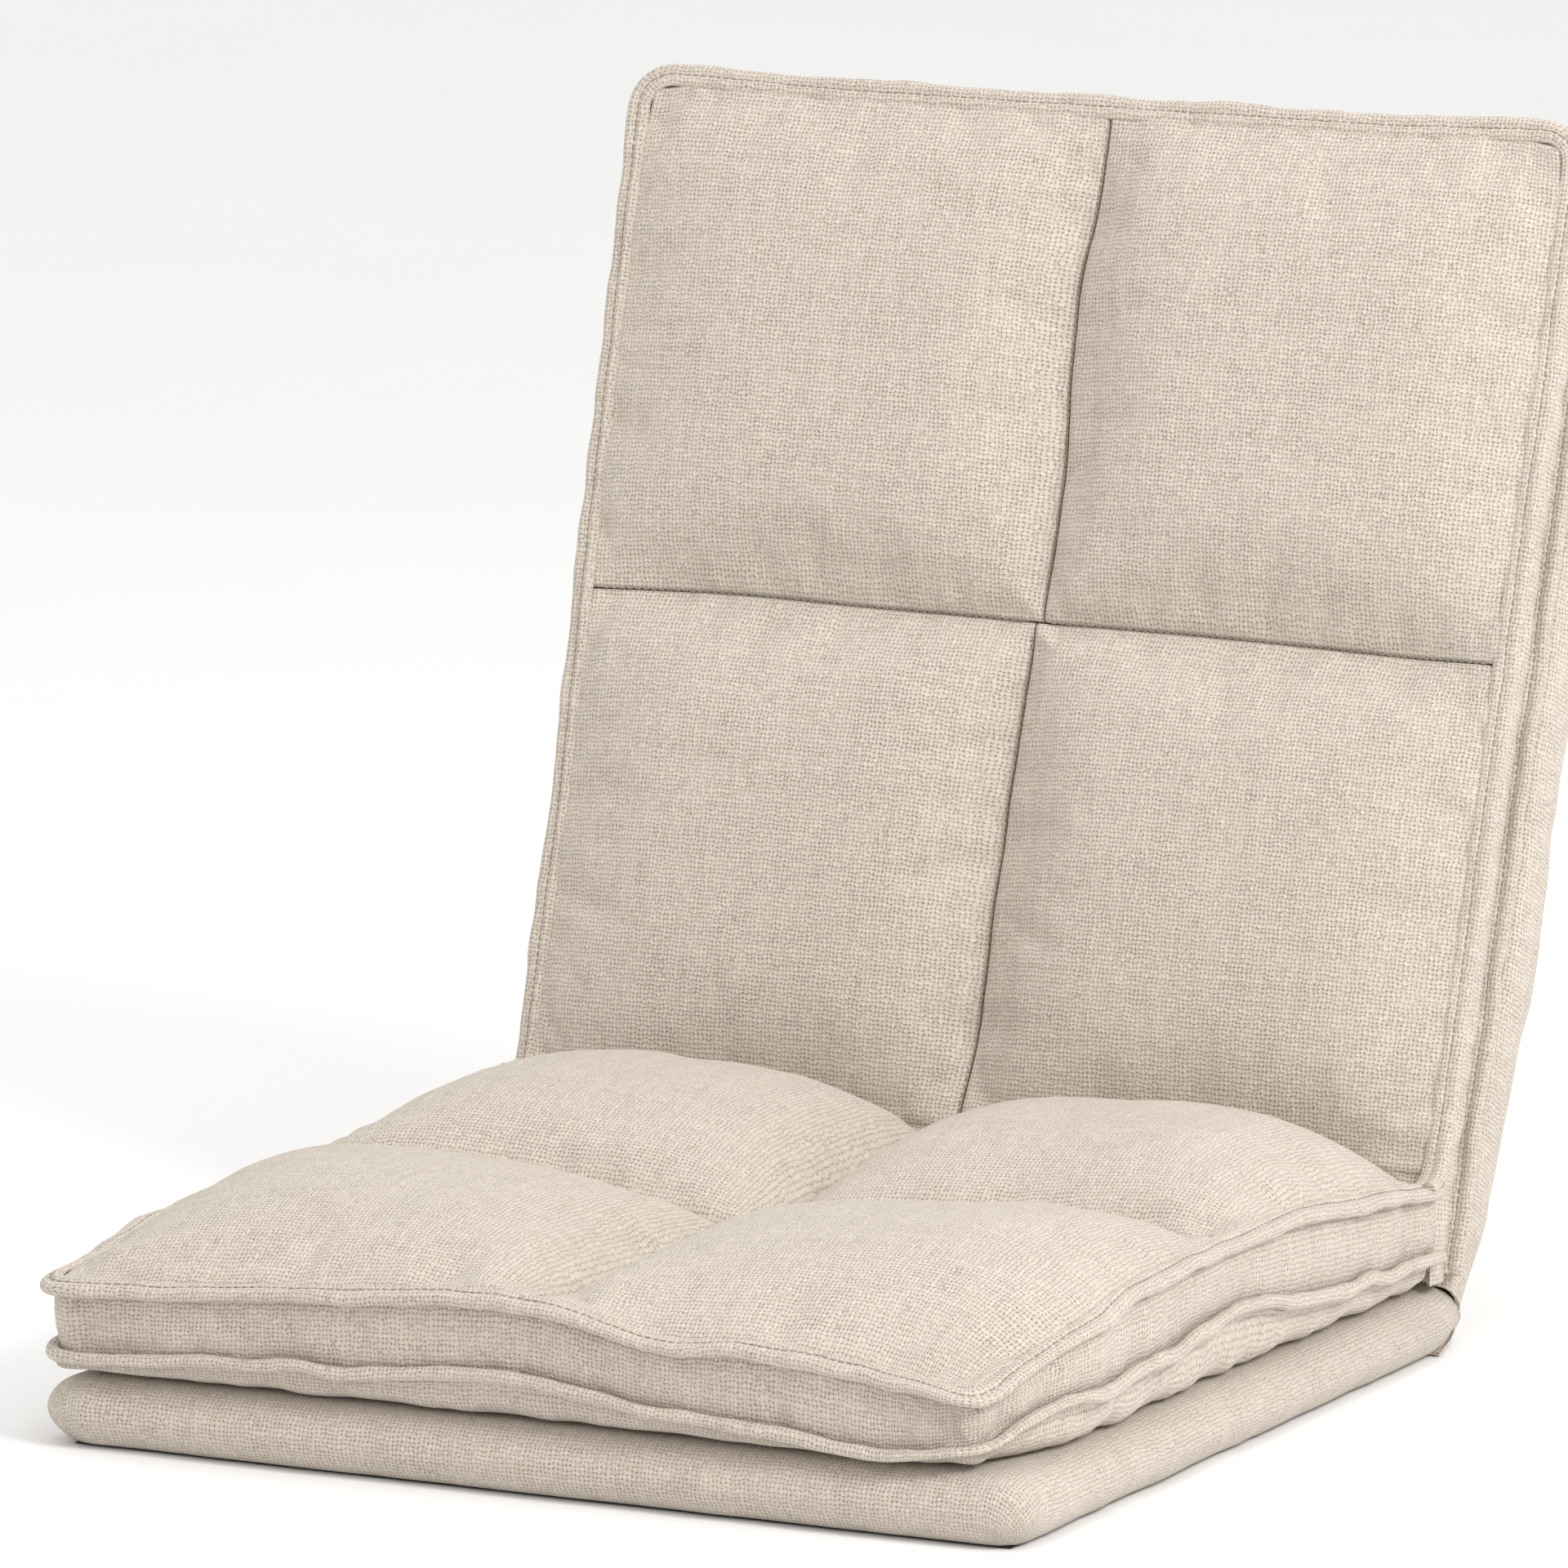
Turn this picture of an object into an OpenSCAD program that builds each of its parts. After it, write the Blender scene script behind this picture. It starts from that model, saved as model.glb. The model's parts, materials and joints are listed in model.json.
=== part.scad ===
// Upholstered seat pad with a hinged, quilted topper, for a dining chair.
// +Z is up, +X is the sitter's left-hand side seen from the front, the front edge faces -Y.
// The origin is the centre of the four fixing holes, on the underside that rests on the chair's rails.

/* [Seat deck] */
// Overall width of the padded deck
seat_w = 480; // [440:5:540]
// Depth from the deck's front edge to the crease between seat and back
seat_d = 455; // [420:5:500]
// Height of the deck from the rails to the top of its cover
deck_h = 32; // [30:1:40]
// Radius of the deck's front corners in plan
deck_corner_r = 20; // [10:1:30]
// Thickness of the plywood boards
board_t = 12; // [9:1:12]

/* [Topper] */
// Overall width of the topper over its flanged seams
pad_w = 484; // [440:2:540]
// Height of the seat section's side band between its two flanges
band_h = 37; // [30:1:45]
// Depth of the belly under the lower flange
belly_h = 14; // [10:1:18]
// Thickness of the back section between its two flanges
back_band_d = 36; // [30:1:40]
// Rise of each quilted quarter above the flange plane on the seat
seat_puff_h = 24; // [10:1:28]
// Rise of each quilted quarter in front of the flange plane on the back
back_puff_h = 18; // [8:1:22]
// Width of the flanged seams
flange_w = 7; // [5:0.5:9]
// Thickness of the flanged seams
flange_t = 4; // [3:0.5:5]

/* [Back shell] */
// Length of the back along its slope, from the crease to the top
back_h = 490; // [420:5:560]
// Recline of the back from the vertical, in degrees
recline = 18; // [12:1:24]
// Thickness of the upholstered back shell
shell_t = 38; // [34:1:44]
// Gap between the back section and the shell it is sewn to
shell_gap = 1; // [0.5:0.5:2]

/* [Fixings] */
// Distance between the seat fixing holes across the chair
fix_x = 320; // [240:10:360]
// Distance between the seat fixing holes front to back
fix_y = 300; // [240:10:340]

/* [Closure] */
// Length of the zip in the seat section's rear band
zip_len = 380; // [300:10:400]
// Length of each hook-and-loop strip
strip_len = 240; // [150:10:300]

/* [Hidden] */
$fn = 48;

cloth_t = 1.4;         // upholstery cloth
lining_t = 0.8;        // dust cover, webbing tapes and other thin cloth
fit = 0.3;             // gap that keeps neighbouring soft pieces apart
eps = 1;               // how far a cutting solid passes the face that it opens

front_y = -240;                                   // front edge of the deck
crease_y = front_y + seat_d;                      // hinge line between the two sections
base_z = deck_h + 1;                              // underside of the seat section
low_flange_z = base_z + belly_h;                  // lower flanged seam
crease_z = low_flange_z + band_h;                 // upper flanged seam and hinge line
board_z = lining_t + cloth_t + fit;               // underside of the seat board
board_top_z = board_z + board_t;
shell_n = back_band_d + shell_gap;                // front of the shell, behind the flange plane
rear_n = shell_n + shell_t;                       // rear of the shell
back_board_n = rear_n - cloth_t - lining_t - fit - board_t;
board_inset = 10;                                 // edge of each board inside the foam roll
pad_x = pad_w/2 - flange_w;                       // outer face of the topper's side bands
pad_front_y = front_y + 5;                        // outer face of the front band
pad_rear_y = crease_y - 2.5;                      // outer face of the seat section's rear band
tail_y = crease_y + 7;                            // front of the back section below the crease
panel_gap = 0.6;                                  // between neighbouring quilted quarters

board_rear_y = crease_y + 35;
bracket_x = [-150, 0, 150];
bracket_w = 30;
bracket_t = 3;
bracket_leg = 50;
bracket_foot_t = -51;                             // where the upright leg starts, up the slope
screw_r = 2;
screw_len = 10;
screw_pitch = 22;
tnut_r = 3;                                       // M6 thread
tnut_wall = 0.9;
tnut_flange_r = 9.5;
tnut_flange_t = 1.5;
tnut_room = 6;                                    // hollow in the foam over each T-nut
access_r = 6;                                     // holes in the cloth that let a bolt through
snug = 0.1;                                       // clearance of a part pressed or screwed into wood
screw_play = 0.2;                                 // clearance of a screw in a bracket
screw_head_h = 1.6;

past = 20;                                        // how far a cutting solid runs on behind the mitre
mitre_z = 10;                                     // height above the rails of the mitre's lower end
heel_run = 7;                                     // rounded heel of the deck below the mitre
heel_z = 9;
nose_r = 12;                                      // rounding of the deck's front edge in profile
turned_in = 45;                                   // cloth turned under the board at the front and sides
rear_turned_in = 35;

foot_front_y = crease_y - 17;                     // front end of each bracket's foot
foot_heel_gap = 2;                                // between the foot and the upright leg's bend
foot_screw_y = crease_y - 5;                      // first screw of the foot
leg_screw_t = bracket_foot_t + 22;                // first screw of the upright leg
leg_top_t = bracket_foot_t + bracket_leg + 10;    // upper end of the upright leg
bracket_relief = 3;                               // room in the foam round a bracket
rear_relief = 2;                                  // room in the foam for the back board's foot

staple_crown = 10;
staple_wire = 0.6;
staple_leg = 8;
staple_slack = 0.4;                               // room round a crown in the cloth that it holds
staple_pitch = 50;
front_staple_pitch = 45;
staple_edge = 20;                                 // staples' distance from the board's edges
rear_staple_edge = 12;

strip_w = 20;                                     // hook-and-loop strips
strip_t = 0.4;
strip_inset = 75;

// World [y, z] of a point n behind the back's flange plane and t up its slope.
function bk(n, t) = [
    crease_y + n*cos(recline) + t*sin(recline),
    crease_z - n*sin(recline) + t*cos(recline)
];
// Distance up the slope at which a plane n behind the flange plane passes height z.
function slope_at(n, z) = (z - crease_z + n*sin(recline))/cos(recline);

// Where the deck's top meets the shell's front, and the lower rear end of the mitre between them.
corner_in = bk(shell_n, slope_at(shell_n, deck_h));
corner_out = bk(rear_n, slope_at(rear_n, mitre_z));

module across(w, pts) rotate([90, 0, 90]) linear_extrude(w, center = true) polygon(pts);

module on_back() translate([0, crease_y, crease_z]) rotate([-recline, 0, 0]) children();

module box(x0, x1, y0, y1, z0, z1) translate([x0, y0, z0]) cube([x1 - x0, y1 - y0, z1 - z0]);

// Rectangle of half width hx with rounded front corners, from y0 to y1.
module front_rounded(hx, y0, y1, r) {
    translate([-hx, y0 + r]) square([2*hx, y1 - y0 - r]);
    translate([-hx + r, y0]) square([2*(hx - r), r + eps]);
    for (s = [-1, 1]) translate([s*(hx - r), y0 + r]) circle(r);
}

// Deck profile inset by d all round, its nose rounded, its rear end cut along the mitre.
module deck_solid(d) intersection() {
    linear_extrude(deck_h - d, convexity = 4)
        front_rounded(seat_w/2 - d, front_y + d, corner_out[0] + past, deck_corner_r - d);
    rotate([90, 0, 90]) linear_extrude(seat_w + 2*eps, center = true) {
        translate([front_y + nose_r, d]) square([corner_in[0] - front_y - nose_r - d, deck_h - 2*d]);
        translate([front_y + d, nose_r]) square([nose_r + eps, deck_h - 2*nose_r]);
        for (z = [nose_r, deck_h - nose_r]) translate([front_y + nose_r, z]) circle(nose_r - d);
        polygon([
            [corner_in[0] - d - eps, d], [corner_out[0] - heel_run - d, d], [corner_out[0] - fit - d, heel_z],
            [corner_in[0] - fit - d, deck_h - d], [corner_in[0] - d - eps, deck_h - d]
        ]);
    }
}

module seat_hole_grid() for (x = [-1, 1], y = [-1, 1]) translate([x*fix_x/2, y*fix_y/2, 0]) children();

// T-nut with its flange at z < 0 and its barrel running up through the board.
module tnut() difference() {
    union() {
        translate([0, 0, -tnut_flange_t]) cylinder(r = tnut_flange_r, h = tnut_flange_t);
        cylinder(r = tnut_r + tnut_wall, h = board_t);
    }
    translate([0, 0, -tnut_flange_t - eps]) cylinder(r = tnut_r, h = board_t + tnut_flange_t + 2*eps);
}

// Screw places: three brackets, two screws in each leg. Children point into the board along -Z.
module bracket_screw_places() {
    for (x = bracket_x, k = [0, 1]) {
        translate([x, foot_screw_y + k*screw_pitch, board_top_z]) children();
        on_back() translate([x, back_board_n, leg_screw_t + k*screw_pitch]) rotate([90, 0, 0]) children();
    }
}

module bracket_profile(x, grow) translate([x, 0, 0]) {
    foot_end_y = bk(back_board_n, bracket_foot_t)[0] - foot_heel_gap;
    across(bracket_w + 2*grow, [
        [foot_front_y - grow, board_top_z], [foot_end_y, board_top_z],
        [foot_end_y, board_top_z + bracket_t + grow], [foot_front_y - grow, board_top_z + bracket_t + grow]
    ]);
    across(bracket_w + 2*grow, [
        bk(back_board_n - bracket_t - grow, bracket_foot_t), bk(back_board_n, bracket_foot_t),
        bk(back_board_n, leg_top_t + grow), bk(back_board_n - bracket_t - grow, leg_top_t + grow)
    ]);
}

// ---- Rigid shell: seat deck ----

module seat_board() color("burlywood") difference() {
    translate([0, 0, board_z]) linear_extrude(board_t)
        front_rounded(seat_w/2 - board_inset, front_y + board_inset, board_rear_y, deck_corner_r - board_inset/2);
    seat_hole_grid() translate([0, 0, board_z - eps]) cylinder(r = tnut_r + tnut_wall + snug, h = board_t + 2*eps);
    bracket_screw_places() translate([0, 0, -screw_len - eps]) cylinder(r = screw_r + snug, h = screw_len + 2*eps);
}

module seat_tnuts() color("silver") seat_hole_grid() translate([0, 0, board_top_z]) mirror([0, 0, 1]) tnut();

module deck_foam() color("lightyellow") difference() {
    deck_solid(cloth_t + fit);
    box(-seat_w, seat_w, front_y - eps, corner_out[0] + past, -eps, board_z);
    translate([0, 0, -eps]) linear_extrude(board_top_z + eps)
        front_rounded(seat_w/2 - board_inset + fit, front_y + board_inset - fit, corner_out[0] + past,
            deck_corner_r - board_inset/2);
    seat_hole_grid() cylinder(r = tnut_flange_r + eps, h = board_top_z + tnut_flange_t + tnut_room);
    for (x = bracket_x) bracket_profile(x, bracket_relief);
    // The back board and the bracket's upright leg stand in this relief.
    across(seat_w, [[board_rear_y - rear_relief, board_top_z - eps], [corner_out[0] + past, board_top_z - eps],
        [corner_out[0] + past, deck_h], [board_rear_y - rear_relief, deck_h]]);
}

module turned_in_opening() box(-seat_w/2 + turned_in, seat_w/2 - turned_in, front_y + turned_in,
    board_rear_y - rear_turned_in, -eps, board_z);

module deck_cover() color("wheat") difference() {
    deck_solid(0);
    difference() {
        deck_solid(cloth_t);
        // Cloth turned under the board and stapled, a band all round.
        difference() {
            box(-seat_w, seat_w, front_y, corner_out[0], 0, board_z - fit);
            turned_in_opening();
        }
    }
    turned_in_opening();
    box(-seat_w, seat_w, front_y, corner_out[0] + past, -eps, lining_t);
    // Open end towards the back shell.
    across(seat_w - 2*board_inset, [
        [corner_in[0] + rear_relief, board_z], [corner_out[0] + past, board_z],
        [corner_out[0] + past, deck_h], [corner_in[0] + rear_relief, deck_h - cloth_t - rear_relief]
    ]);
}

module staple_row(count, pitch) for (k = [0:count - 1]) translate([(k - (count - 1)/2)*pitch, 0, 0]) children();

// Rows of staple places round the underside.
module deck_staple_places() {
    mid_y = (front_y + board_rear_y)/2;
    for (y = [front_y + staple_edge, board_rear_y - rear_staple_edge])
        translate([0, y, 0]) staple_row(9, front_staple_pitch) children();
    for (s = [-1, 1]) translate([s*(seat_w/2 - staple_edge), mid_y, 0])
        rotate([0, 0, 90]) staple_row(8, staple_pitch) children();
}

// Wire staple with its crown along X at z = 0 and its legs pointing up.
module staple() {
    translate([-staple_crown/2, -staple_wire/2, 0]) cube([staple_crown, staple_wire, staple_wire]);
    for (s = [-1, 1]) translate([s*(staple_crown - staple_wire)/2 - staple_wire/2, -staple_wire/2, 0])
        cube([staple_wire, staple_wire, staple_leg]);
}

module dust_cover() color("dimgray") difference() {
    linear_extrude(lining_t)
        front_rounded(seat_w/2 - board_inset, front_y + board_inset, board_rear_y, deck_corner_r - board_inset/2);
    seat_hole_grid() translate([0, 0, -eps]) cylinder(r = access_r, h = lining_t + 2*eps);
    deck_staple_places() translate([-(staple_crown + staple_slack)/2, -(staple_wire + staple_slack)/2, -eps])
        cube([staple_crown + staple_slack, staple_wire + staple_slack, lining_t + 2*eps]);
}

module deck_staples() color("gainsboro") deck_staple_places() translate([0, 0, snug]) staple();

// Places of the three hook-and-loop strips on the deck, front, left and right.
module strip_places() {
    translate([0, front_y + strip_inset, 0]) children();
    for (s = [-1, 1]) translate([s*(seat_w/2 - strip_inset), front_y + seat_d/2, 0]) rotate([0, 0, 90]) children();
}

module strip() translate([-strip_len/2, -strip_w/2, 0]) cube([strip_len, strip_w, strip_t]);

module deck_hook_strips() color("tan") translate([0, 0, deck_h]) strip_places() strip();

module corner_brackets() color("silver") difference() {
    for (x = bracket_x) bracket_profile(x, 0);
    bracket_screw_places() translate([0, 0, -eps]) cylinder(r = screw_r + screw_play, h = bracket_t + 2*eps);
}

module bracket_screws() color("silver") bracket_screw_places() {
    translate([0, 0, -screw_len]) cylinder(r = screw_r, h = screw_len + bracket_t + snug);
    translate([0, 0, bracket_t]) cylinder(r = 2*screw_r, h = screw_head_h);
}

// ---- Rigid shell: back ----

rear_opening_inset = 12;   // edge of the rear opening that the rear panel closes
board_foot_t = -50;        // lower ends, along the slope, of the back board and of the rear panel
panel_foot_t = -52;
below_t = -90;             // where a cutting solid starts, below everything
behind = 5;                // how far a cutting solid runs on behind the shell
// Shares of an inset by which the mitred ends of the shell's profile move.
front_share = 1.2;
rear_share = 0.6;
rear_rise_share = 1.6;

// Outline of the back shell in profile, inset by d.
module shell_solid(d) across(seat_w - 2*d, [
    [corner_in[0] + d*front_share, corner_in[1] + fit + d], bk(shell_n + d, back_h - d),
    bk(rear_n - d, back_h - d), [corner_out[0] - d*rear_share, corner_out[1] + fit + d*rear_rise_share]
]);

module back_board_outline() translate([-seat_w/2 + board_inset, board_foot_t])
    square([seat_w - 2*board_inset, back_h - board_foot_t - board_inset]);

// Extrudes an outline drawn in the back's own x and slope plane from depth n0 to n1.
module depth(n0, n1) on_back() translate([0, n1, 0]) rotate([90, 0, 0]) linear_extrude(n1 - n0) children();

module back_board() color("burlywood") difference() {
    depth(back_board_n, back_board_n + board_t) back_board_outline();
    bracket_screw_places() translate([0, 0, -screw_len - eps]) cylinder(r = screw_r + snug, h = screw_len + 2*eps);
}

module back_shell_foam() color("lightyellow") difference() {
    shell_solid(cloth_t + fit);
    depth(back_board_n - fit, rear_n + behind) translate([-seat_w/2 + board_inset - fit, below_t])
        square([seat_w - 2*board_inset + 2*fit, back_h - below_t - board_inset + fit]);
    for (x = bracket_x) bracket_profile(x, bracket_relief);
}

module back_shell_cover() color("wheat") difference() {
    shell_solid(0);
    shell_solid(cloth_t);
    // Open at the rear, where the rear panel closes it, and towards the deck.
    depth(back_board_n + board_t, rear_n + behind) translate([-seat_w/2 + rear_opening_inset, below_t])
        square([seat_w - 2*rear_opening_inset, back_h - below_t - rear_opening_inset]);
    mouth_drop = 10;
    mouth_rise = 4;
    across(seat_w - 2*cloth_t, [
        [corner_in[0] + rear_relief, corner_in[1] - mouth_drop], [corner_in[0] + rear_relief, corner_in[1] + mouth_rise],
        [corner_out[0] - rear_relief, corner_out[1] + mouth_rise],
        [corner_out[0] - rear_relief, corner_out[1] - mouth_drop]
    ]);
}

module back_rear_panel() color("wheat") depth(rear_n - cloth_t, rear_n)
    translate([-seat_w/2 + rear_opening_inset + fit, panel_foot_t])
        square([seat_w - 2*(rear_opening_inset + fit), back_h - panel_foot_t - rear_opening_inset - fit]);

// Staples that hold the cover's edges to the rear of the back board.
module back_staples() color("gainsboro") on_back() {
    crown_n = back_board_n + board_t + staple_wire + snug;
    first_t = 30;
    for (s = [-1, 1], k = [0:8]) translate([s*(seat_w/2 - staple_edge), crown_n, first_t + k*staple_pitch])
        rotate([90, 90, 0]) staple();
    translate([0, crown_n, back_h - staple_edge]) staple_row(8, staple_pitch) rotate([90, 0, 0]) staple();
}

// ---- Quilted quarters ----

// Fullness of a quarter at u across and v along it, 0 at the seams and 1 in the middle.
shoulder = 2.6;
function fullness(u, v) = (1 - pow(abs(2*u - 1), shoulder))*(1 - pow(abs(2*v - 1), shoulder));

// Closed solid over a w by d rectangle: its top domes by h, its underside is flat at -flat_t,
// or follows the dome t below the top where flat_t is 0.
module dome(w, d, h, t, flat_t, n) {
    m = n + 1;
    top = [for (j = [0:n], i = [0:n]) [w*i/n, d*j/n, t + h*fullness(i/n, j/n)]];
    low = [for (j = [0:n], i = [0:n]) [w*i/n, d*j/n, flat_t > 0 ? -flat_t : h*fullness(i/n, j/n)]];
    rim = concat([for (i = [0:n - 1]) i], [for (j = [0:n - 1]) n + j*m],
        [for (i = [0:n - 1]) n*m + n - i], [for (j = [0:n - 1]) (n - j)*m]);
    k = m*m;
    r = len(rim);
    polyhedron(concat(top, low), concat(
        [for (j = [0:n - 1], i = [0:n - 1]) each
            let (a = j*m + i) [[a, a + m, a + m + 1], [a, a + m + 1, a + 1]]],
        [for (j = [0:n - 1], i = [0:n - 1]) each
            let (a = k + j*m + i) [[a, a + m + 1, a + m], [a, a + 1, a + m + 1]]],
        [for (i = [0:r - 1]) each
            let (a = rim[i], b = rim[(i + 1) % r]) [[a, b, b + k], [a, b + k, a + k]]]
    ));
}

seat_quarter = [pad_x - panel_gap/2, (pad_rear_y - pad_front_y)/2 - panel_gap/2];
back_foot_t = 3.5;
back_quarter = [pad_x - panel_gap/2, (back_h - back_foot_t)/2 - panel_gap/2];
panel_grid = 12;
fill_grid = 8;

// sx and sy pick the quarter: -1 is left or front, 1 is right or rear.
module seat_quarter_at(sx, sy) translate([
    sx < 0 ? -pad_x : panel_gap/2,
    sy < 0 ? pad_front_y : (pad_front_y + pad_rear_y + panel_gap)/2, crease_z]) children();

module back_quarter_at(sx, sy) on_back() rotate([90, 0, 0]) translate([
    sx < 0 ? -pad_x : panel_gap/2,
    sy < 0 ? back_foot_t : (back_foot_t + back_h + panel_gap)/2, 0]) children();

module seat_panel(sx, sy) color("wheat") seat_quarter_at(sx, sy)
    dome(seat_quarter[0], seat_quarter[1], seat_puff_h, cloth_t, 0, panel_grid);

module back_panel(sx, sy) color("wheat") back_quarter_at(sx, sy)
    dome(back_quarter[0], back_quarter[1], back_puff_h, cloth_t, 0, panel_grid);

// Loose fill under each quarter, smaller than its panel.
fill_inset = 4;
fill_t = 6;
fill_drop = 1;   // how far the fill's top edge lies below its panel
fill_less = 3;   // how much lower the fill domes than its panel
core_inset = 4;  // foam core inside its cloth
core_gap = 2;    // foam core behind the fill

module seat_wadding() color("white") for (sx = [-1, 1], sy = [-1, 1])
    seat_quarter_at(sx, sy) translate([fill_inset, fill_inset, -fill_drop])
        dome(seat_quarter[0] - 2*fill_inset, seat_quarter[1] - 2*fill_inset, seat_puff_h - fill_less, 0, fill_t, fill_grid);

module back_wadding() color("white") for (sx = [-1, 1], sy = [-1, 1])
    back_quarter_at(sx, sy) translate([fill_inset, fill_inset, -fill_drop])
        dome(back_quarter[0] - 2*fill_inset, back_quarter[1] - 2*fill_inset, back_puff_h - fill_less, 0, fill_t, fill_grid);

// ---- Topper: back section ----

// Profile of the back section inset by d, with its tail tucked behind the seat section.
tail_z = deck_h + 2;
tail_fold = 8;   // how far below the crease the tail turns down
core_rise = 6;   // lower end of the foam above the tail
function back_profile(d) = [
    bk(d, back_foot_t), [tail_y + d, crease_z - tail_fold], [tail_y + d, tail_z + d],
    bk(back_band_d - d, slope_at(back_band_d, tail_z + d)), bk(back_band_d - d, back_h - d), bk(d, back_h - d)
];

module back_core() color("lightyellow") {
    core_n = fill_t + core_gap;
    rear_core_n = back_band_d - core_inset;
    across(2*(pad_x - core_inset), [
        bk(core_n, 0), [tail_y + tail_fold, tail_z + core_rise],
        bk(rear_core_n, slope_at(back_band_d, tail_z + core_rise + core_gap)),
        bk(rear_core_n, back_h - core_inset), bk(core_n, back_h - core_inset)
    ]);
}

module back_gusset() color("wheat") difference() {
    across(2*pad_x, back_profile(0));
    // Hollow, open at the front above the crease and at the rear.
    across(2*pad_x - 2*cloth_t, [
        bk(-eps, back_foot_t + cloth_t), bk(cloth_t, back_foot_t + cloth_t),
        [tail_y + cloth_t, crease_z - tail_fold], [tail_y + cloth_t, tail_z + cloth_t],
        bk(back_band_d + eps, slope_at(back_band_d + eps, tail_z + cloth_t)),
        bk(back_band_d + eps, back_h - cloth_t), bk(-eps, back_h - cloth_t)
    ]);
}

base_rise = 2;         // lower edge of the base panel above the tail, and its slant through the cloth
base_slant = 0.4;

module back_base_panel() color("wheat") across(2*pad_x - 2*cloth_t - 2*fit, [
    bk(back_band_d - cloth_t, slope_at(back_band_d, tail_z + base_rise + base_slant)),
    bk(back_band_d, slope_at(back_band_d, tail_z + base_rise)),
    bk(back_band_d, back_h - cloth_t - fit), bk(back_band_d - cloth_t, back_h - cloth_t - fit)
]);

// Flange round the top and both sides of the back section, from depth n0 to n1.
module back_flange(n0, n1, foot_t) depth(n0, n1) difference() {
    translate([-pad_w/2, foot_t]) square([pad_w, back_h + flange_w - foot_t]);
    translate([-pad_x, foot_t - eps]) square([2*pad_x, back_h - foot_t + eps]);
}

module back_front_flange() color("wheat") back_flange(-cloth_t, flange_t - cloth_t, back_foot_t);

rear_flange_foot_t = -20;

module back_rear_flange() color("wheat") back_flange(back_band_d - flange_t, back_band_d, rear_flange_foot_t);

stitch_t = 0.7;   // sewing thread, as a solid line
stitch_end = 6;   // how far a cross seam's stitches stop short of its ends
foot_end = 8;     // the same at the crease
hem_end = 4;      // the same for a topstitched flange

module back_cross_stitch() color("gray") on_back() {
    mid_t = (back_foot_t + back_h)/2;
    for (s = [0, 1]) translate([s*pad_x, 0, 0])
        box(-pad_x + stitch_end, -stitch_end, -cloth_t - stitch_t, -cloth_t, mid_t - stitch_t/2, mid_t + stitch_t/2);
    for (s = [0, 1]) translate([0, 0, s*mid_t])
        box(-stitch_t/2, stitch_t/2, -cloth_t - stitch_t, -cloth_t, foot_end, mid_t - foot_end);
}

module back_topstitch() color("gray") on_back() {
    mid = flange_w/2;
    front_n = -cloth_t - stitch_t;
    for (s = [-1, 1]) translate([s*(pad_x + mid), 0, 0])
        box(-stitch_t/2, stitch_t/2, front_n, -cloth_t, back_foot_t + hem_end, back_h + mid - stitch_t);
    box(-pad_x, pad_x, front_n, -cloth_t, back_h + mid - stitch_t/2, back_h + mid + stitch_t/2);
}

fold_r = 0.8;

// The sewn fold that joins the two sections and acts as their hinge.
module crease_seam() color("tan") translate([-pad_x, crease_y, crease_z]) rotate([0, 90, 0])
    cylinder(r = fold_r, h = 2*pad_x);

// ---- Topper: seat section ----

zip_room = 6;                  // room between the foam core and the zip
base_room = 3;                 // room between the foam core and the base panel

module seat_core() color("lightyellow")
    box(-pad_x + core_inset, pad_x - core_inset, pad_front_y + core_inset, pad_rear_y - zip_room,
        base_z + base_room, crease_z - fill_t - core_gap);

zip_z = low_flange_z + 17;     // centre line of the zip
zip_slot_h = 8;

module seat_gusset() color("wheat") difference() {
    box(-pad_x, pad_x, pad_front_y, pad_rear_y, low_flange_z, crease_z);
    box(-pad_x + cloth_t, pad_x - cloth_t, pad_front_y + cloth_t, pad_rear_y - cloth_t,
        low_flange_z - eps, crease_z + eps);
    box(-zip_len/2, zip_len/2, pad_rear_y - 2*cloth_t, pad_rear_y + eps,
        zip_z - zip_slot_h/2, zip_z + zip_slot_h/2);
}

module seat_base_panel() color("wheat") difference() {
    box(-pad_x, pad_x, pad_front_y, pad_rear_y, base_z, low_flange_z);
    box(-pad_x + cloth_t, pad_x - cloth_t, pad_front_y + cloth_t, pad_rear_y - cloth_t,
        base_z + cloth_t, low_flange_z + eps);
}

// Flange round the front and both sides of the seat section.
module seat_flange(z0, z1) difference() {
    box(-pad_w/2, pad_w/2, pad_front_y - flange_w, pad_rear_y, z0, z1);
    box(-pad_x, pad_x, pad_front_y, pad_rear_y + eps, z0 - eps, z1 + eps);
}

module seat_top_flange() color("wheat") seat_flange(crease_z + cloth_t - flange_t, crease_z + cloth_t);

module seat_base_flange() color("wheat") seat_flange(low_flange_z - flange_t/2, low_flange_z + flange_t/2);

module seat_cross_stitch() color("gray") {
    mid_y = (pad_front_y + pad_rear_y)/2;
    half_d = (pad_rear_y - pad_front_y)/2;
    z0 = crease_z + cloth_t;
    for (s = [-1, 1]) {
        box(min(stitch_end*s, s*(pad_x - stitch_end)), max(stitch_end*s, s*(pad_x - stitch_end)),
            mid_y - stitch_t/2, mid_y + stitch_t/2, z0, z0 + stitch_t);
        box(-stitch_t/2, stitch_t/2, mid_y + min(stitch_end*s, s*(half_d - stitch_end)),
            mid_y + max(stitch_end*s, s*(half_d - stitch_end)), z0, z0 + stitch_t);
    }
}

module seat_topstitch() color("gray") {
    mid = flange_w/2;
    z0 = crease_z + cloth_t;
    for (s = [-1, 1]) translate([s*(pad_x + mid), 0, 0])
        box(-stitch_t/2, stitch_t/2, pad_front_y, pad_rear_y - hem_end, z0, z0 + stitch_t);
    box(-pad_x, pad_x, pad_front_y - mid - stitch_t/2, pad_front_y - mid + stitch_t/2, z0, z0 + stitch_t);
}

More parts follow.
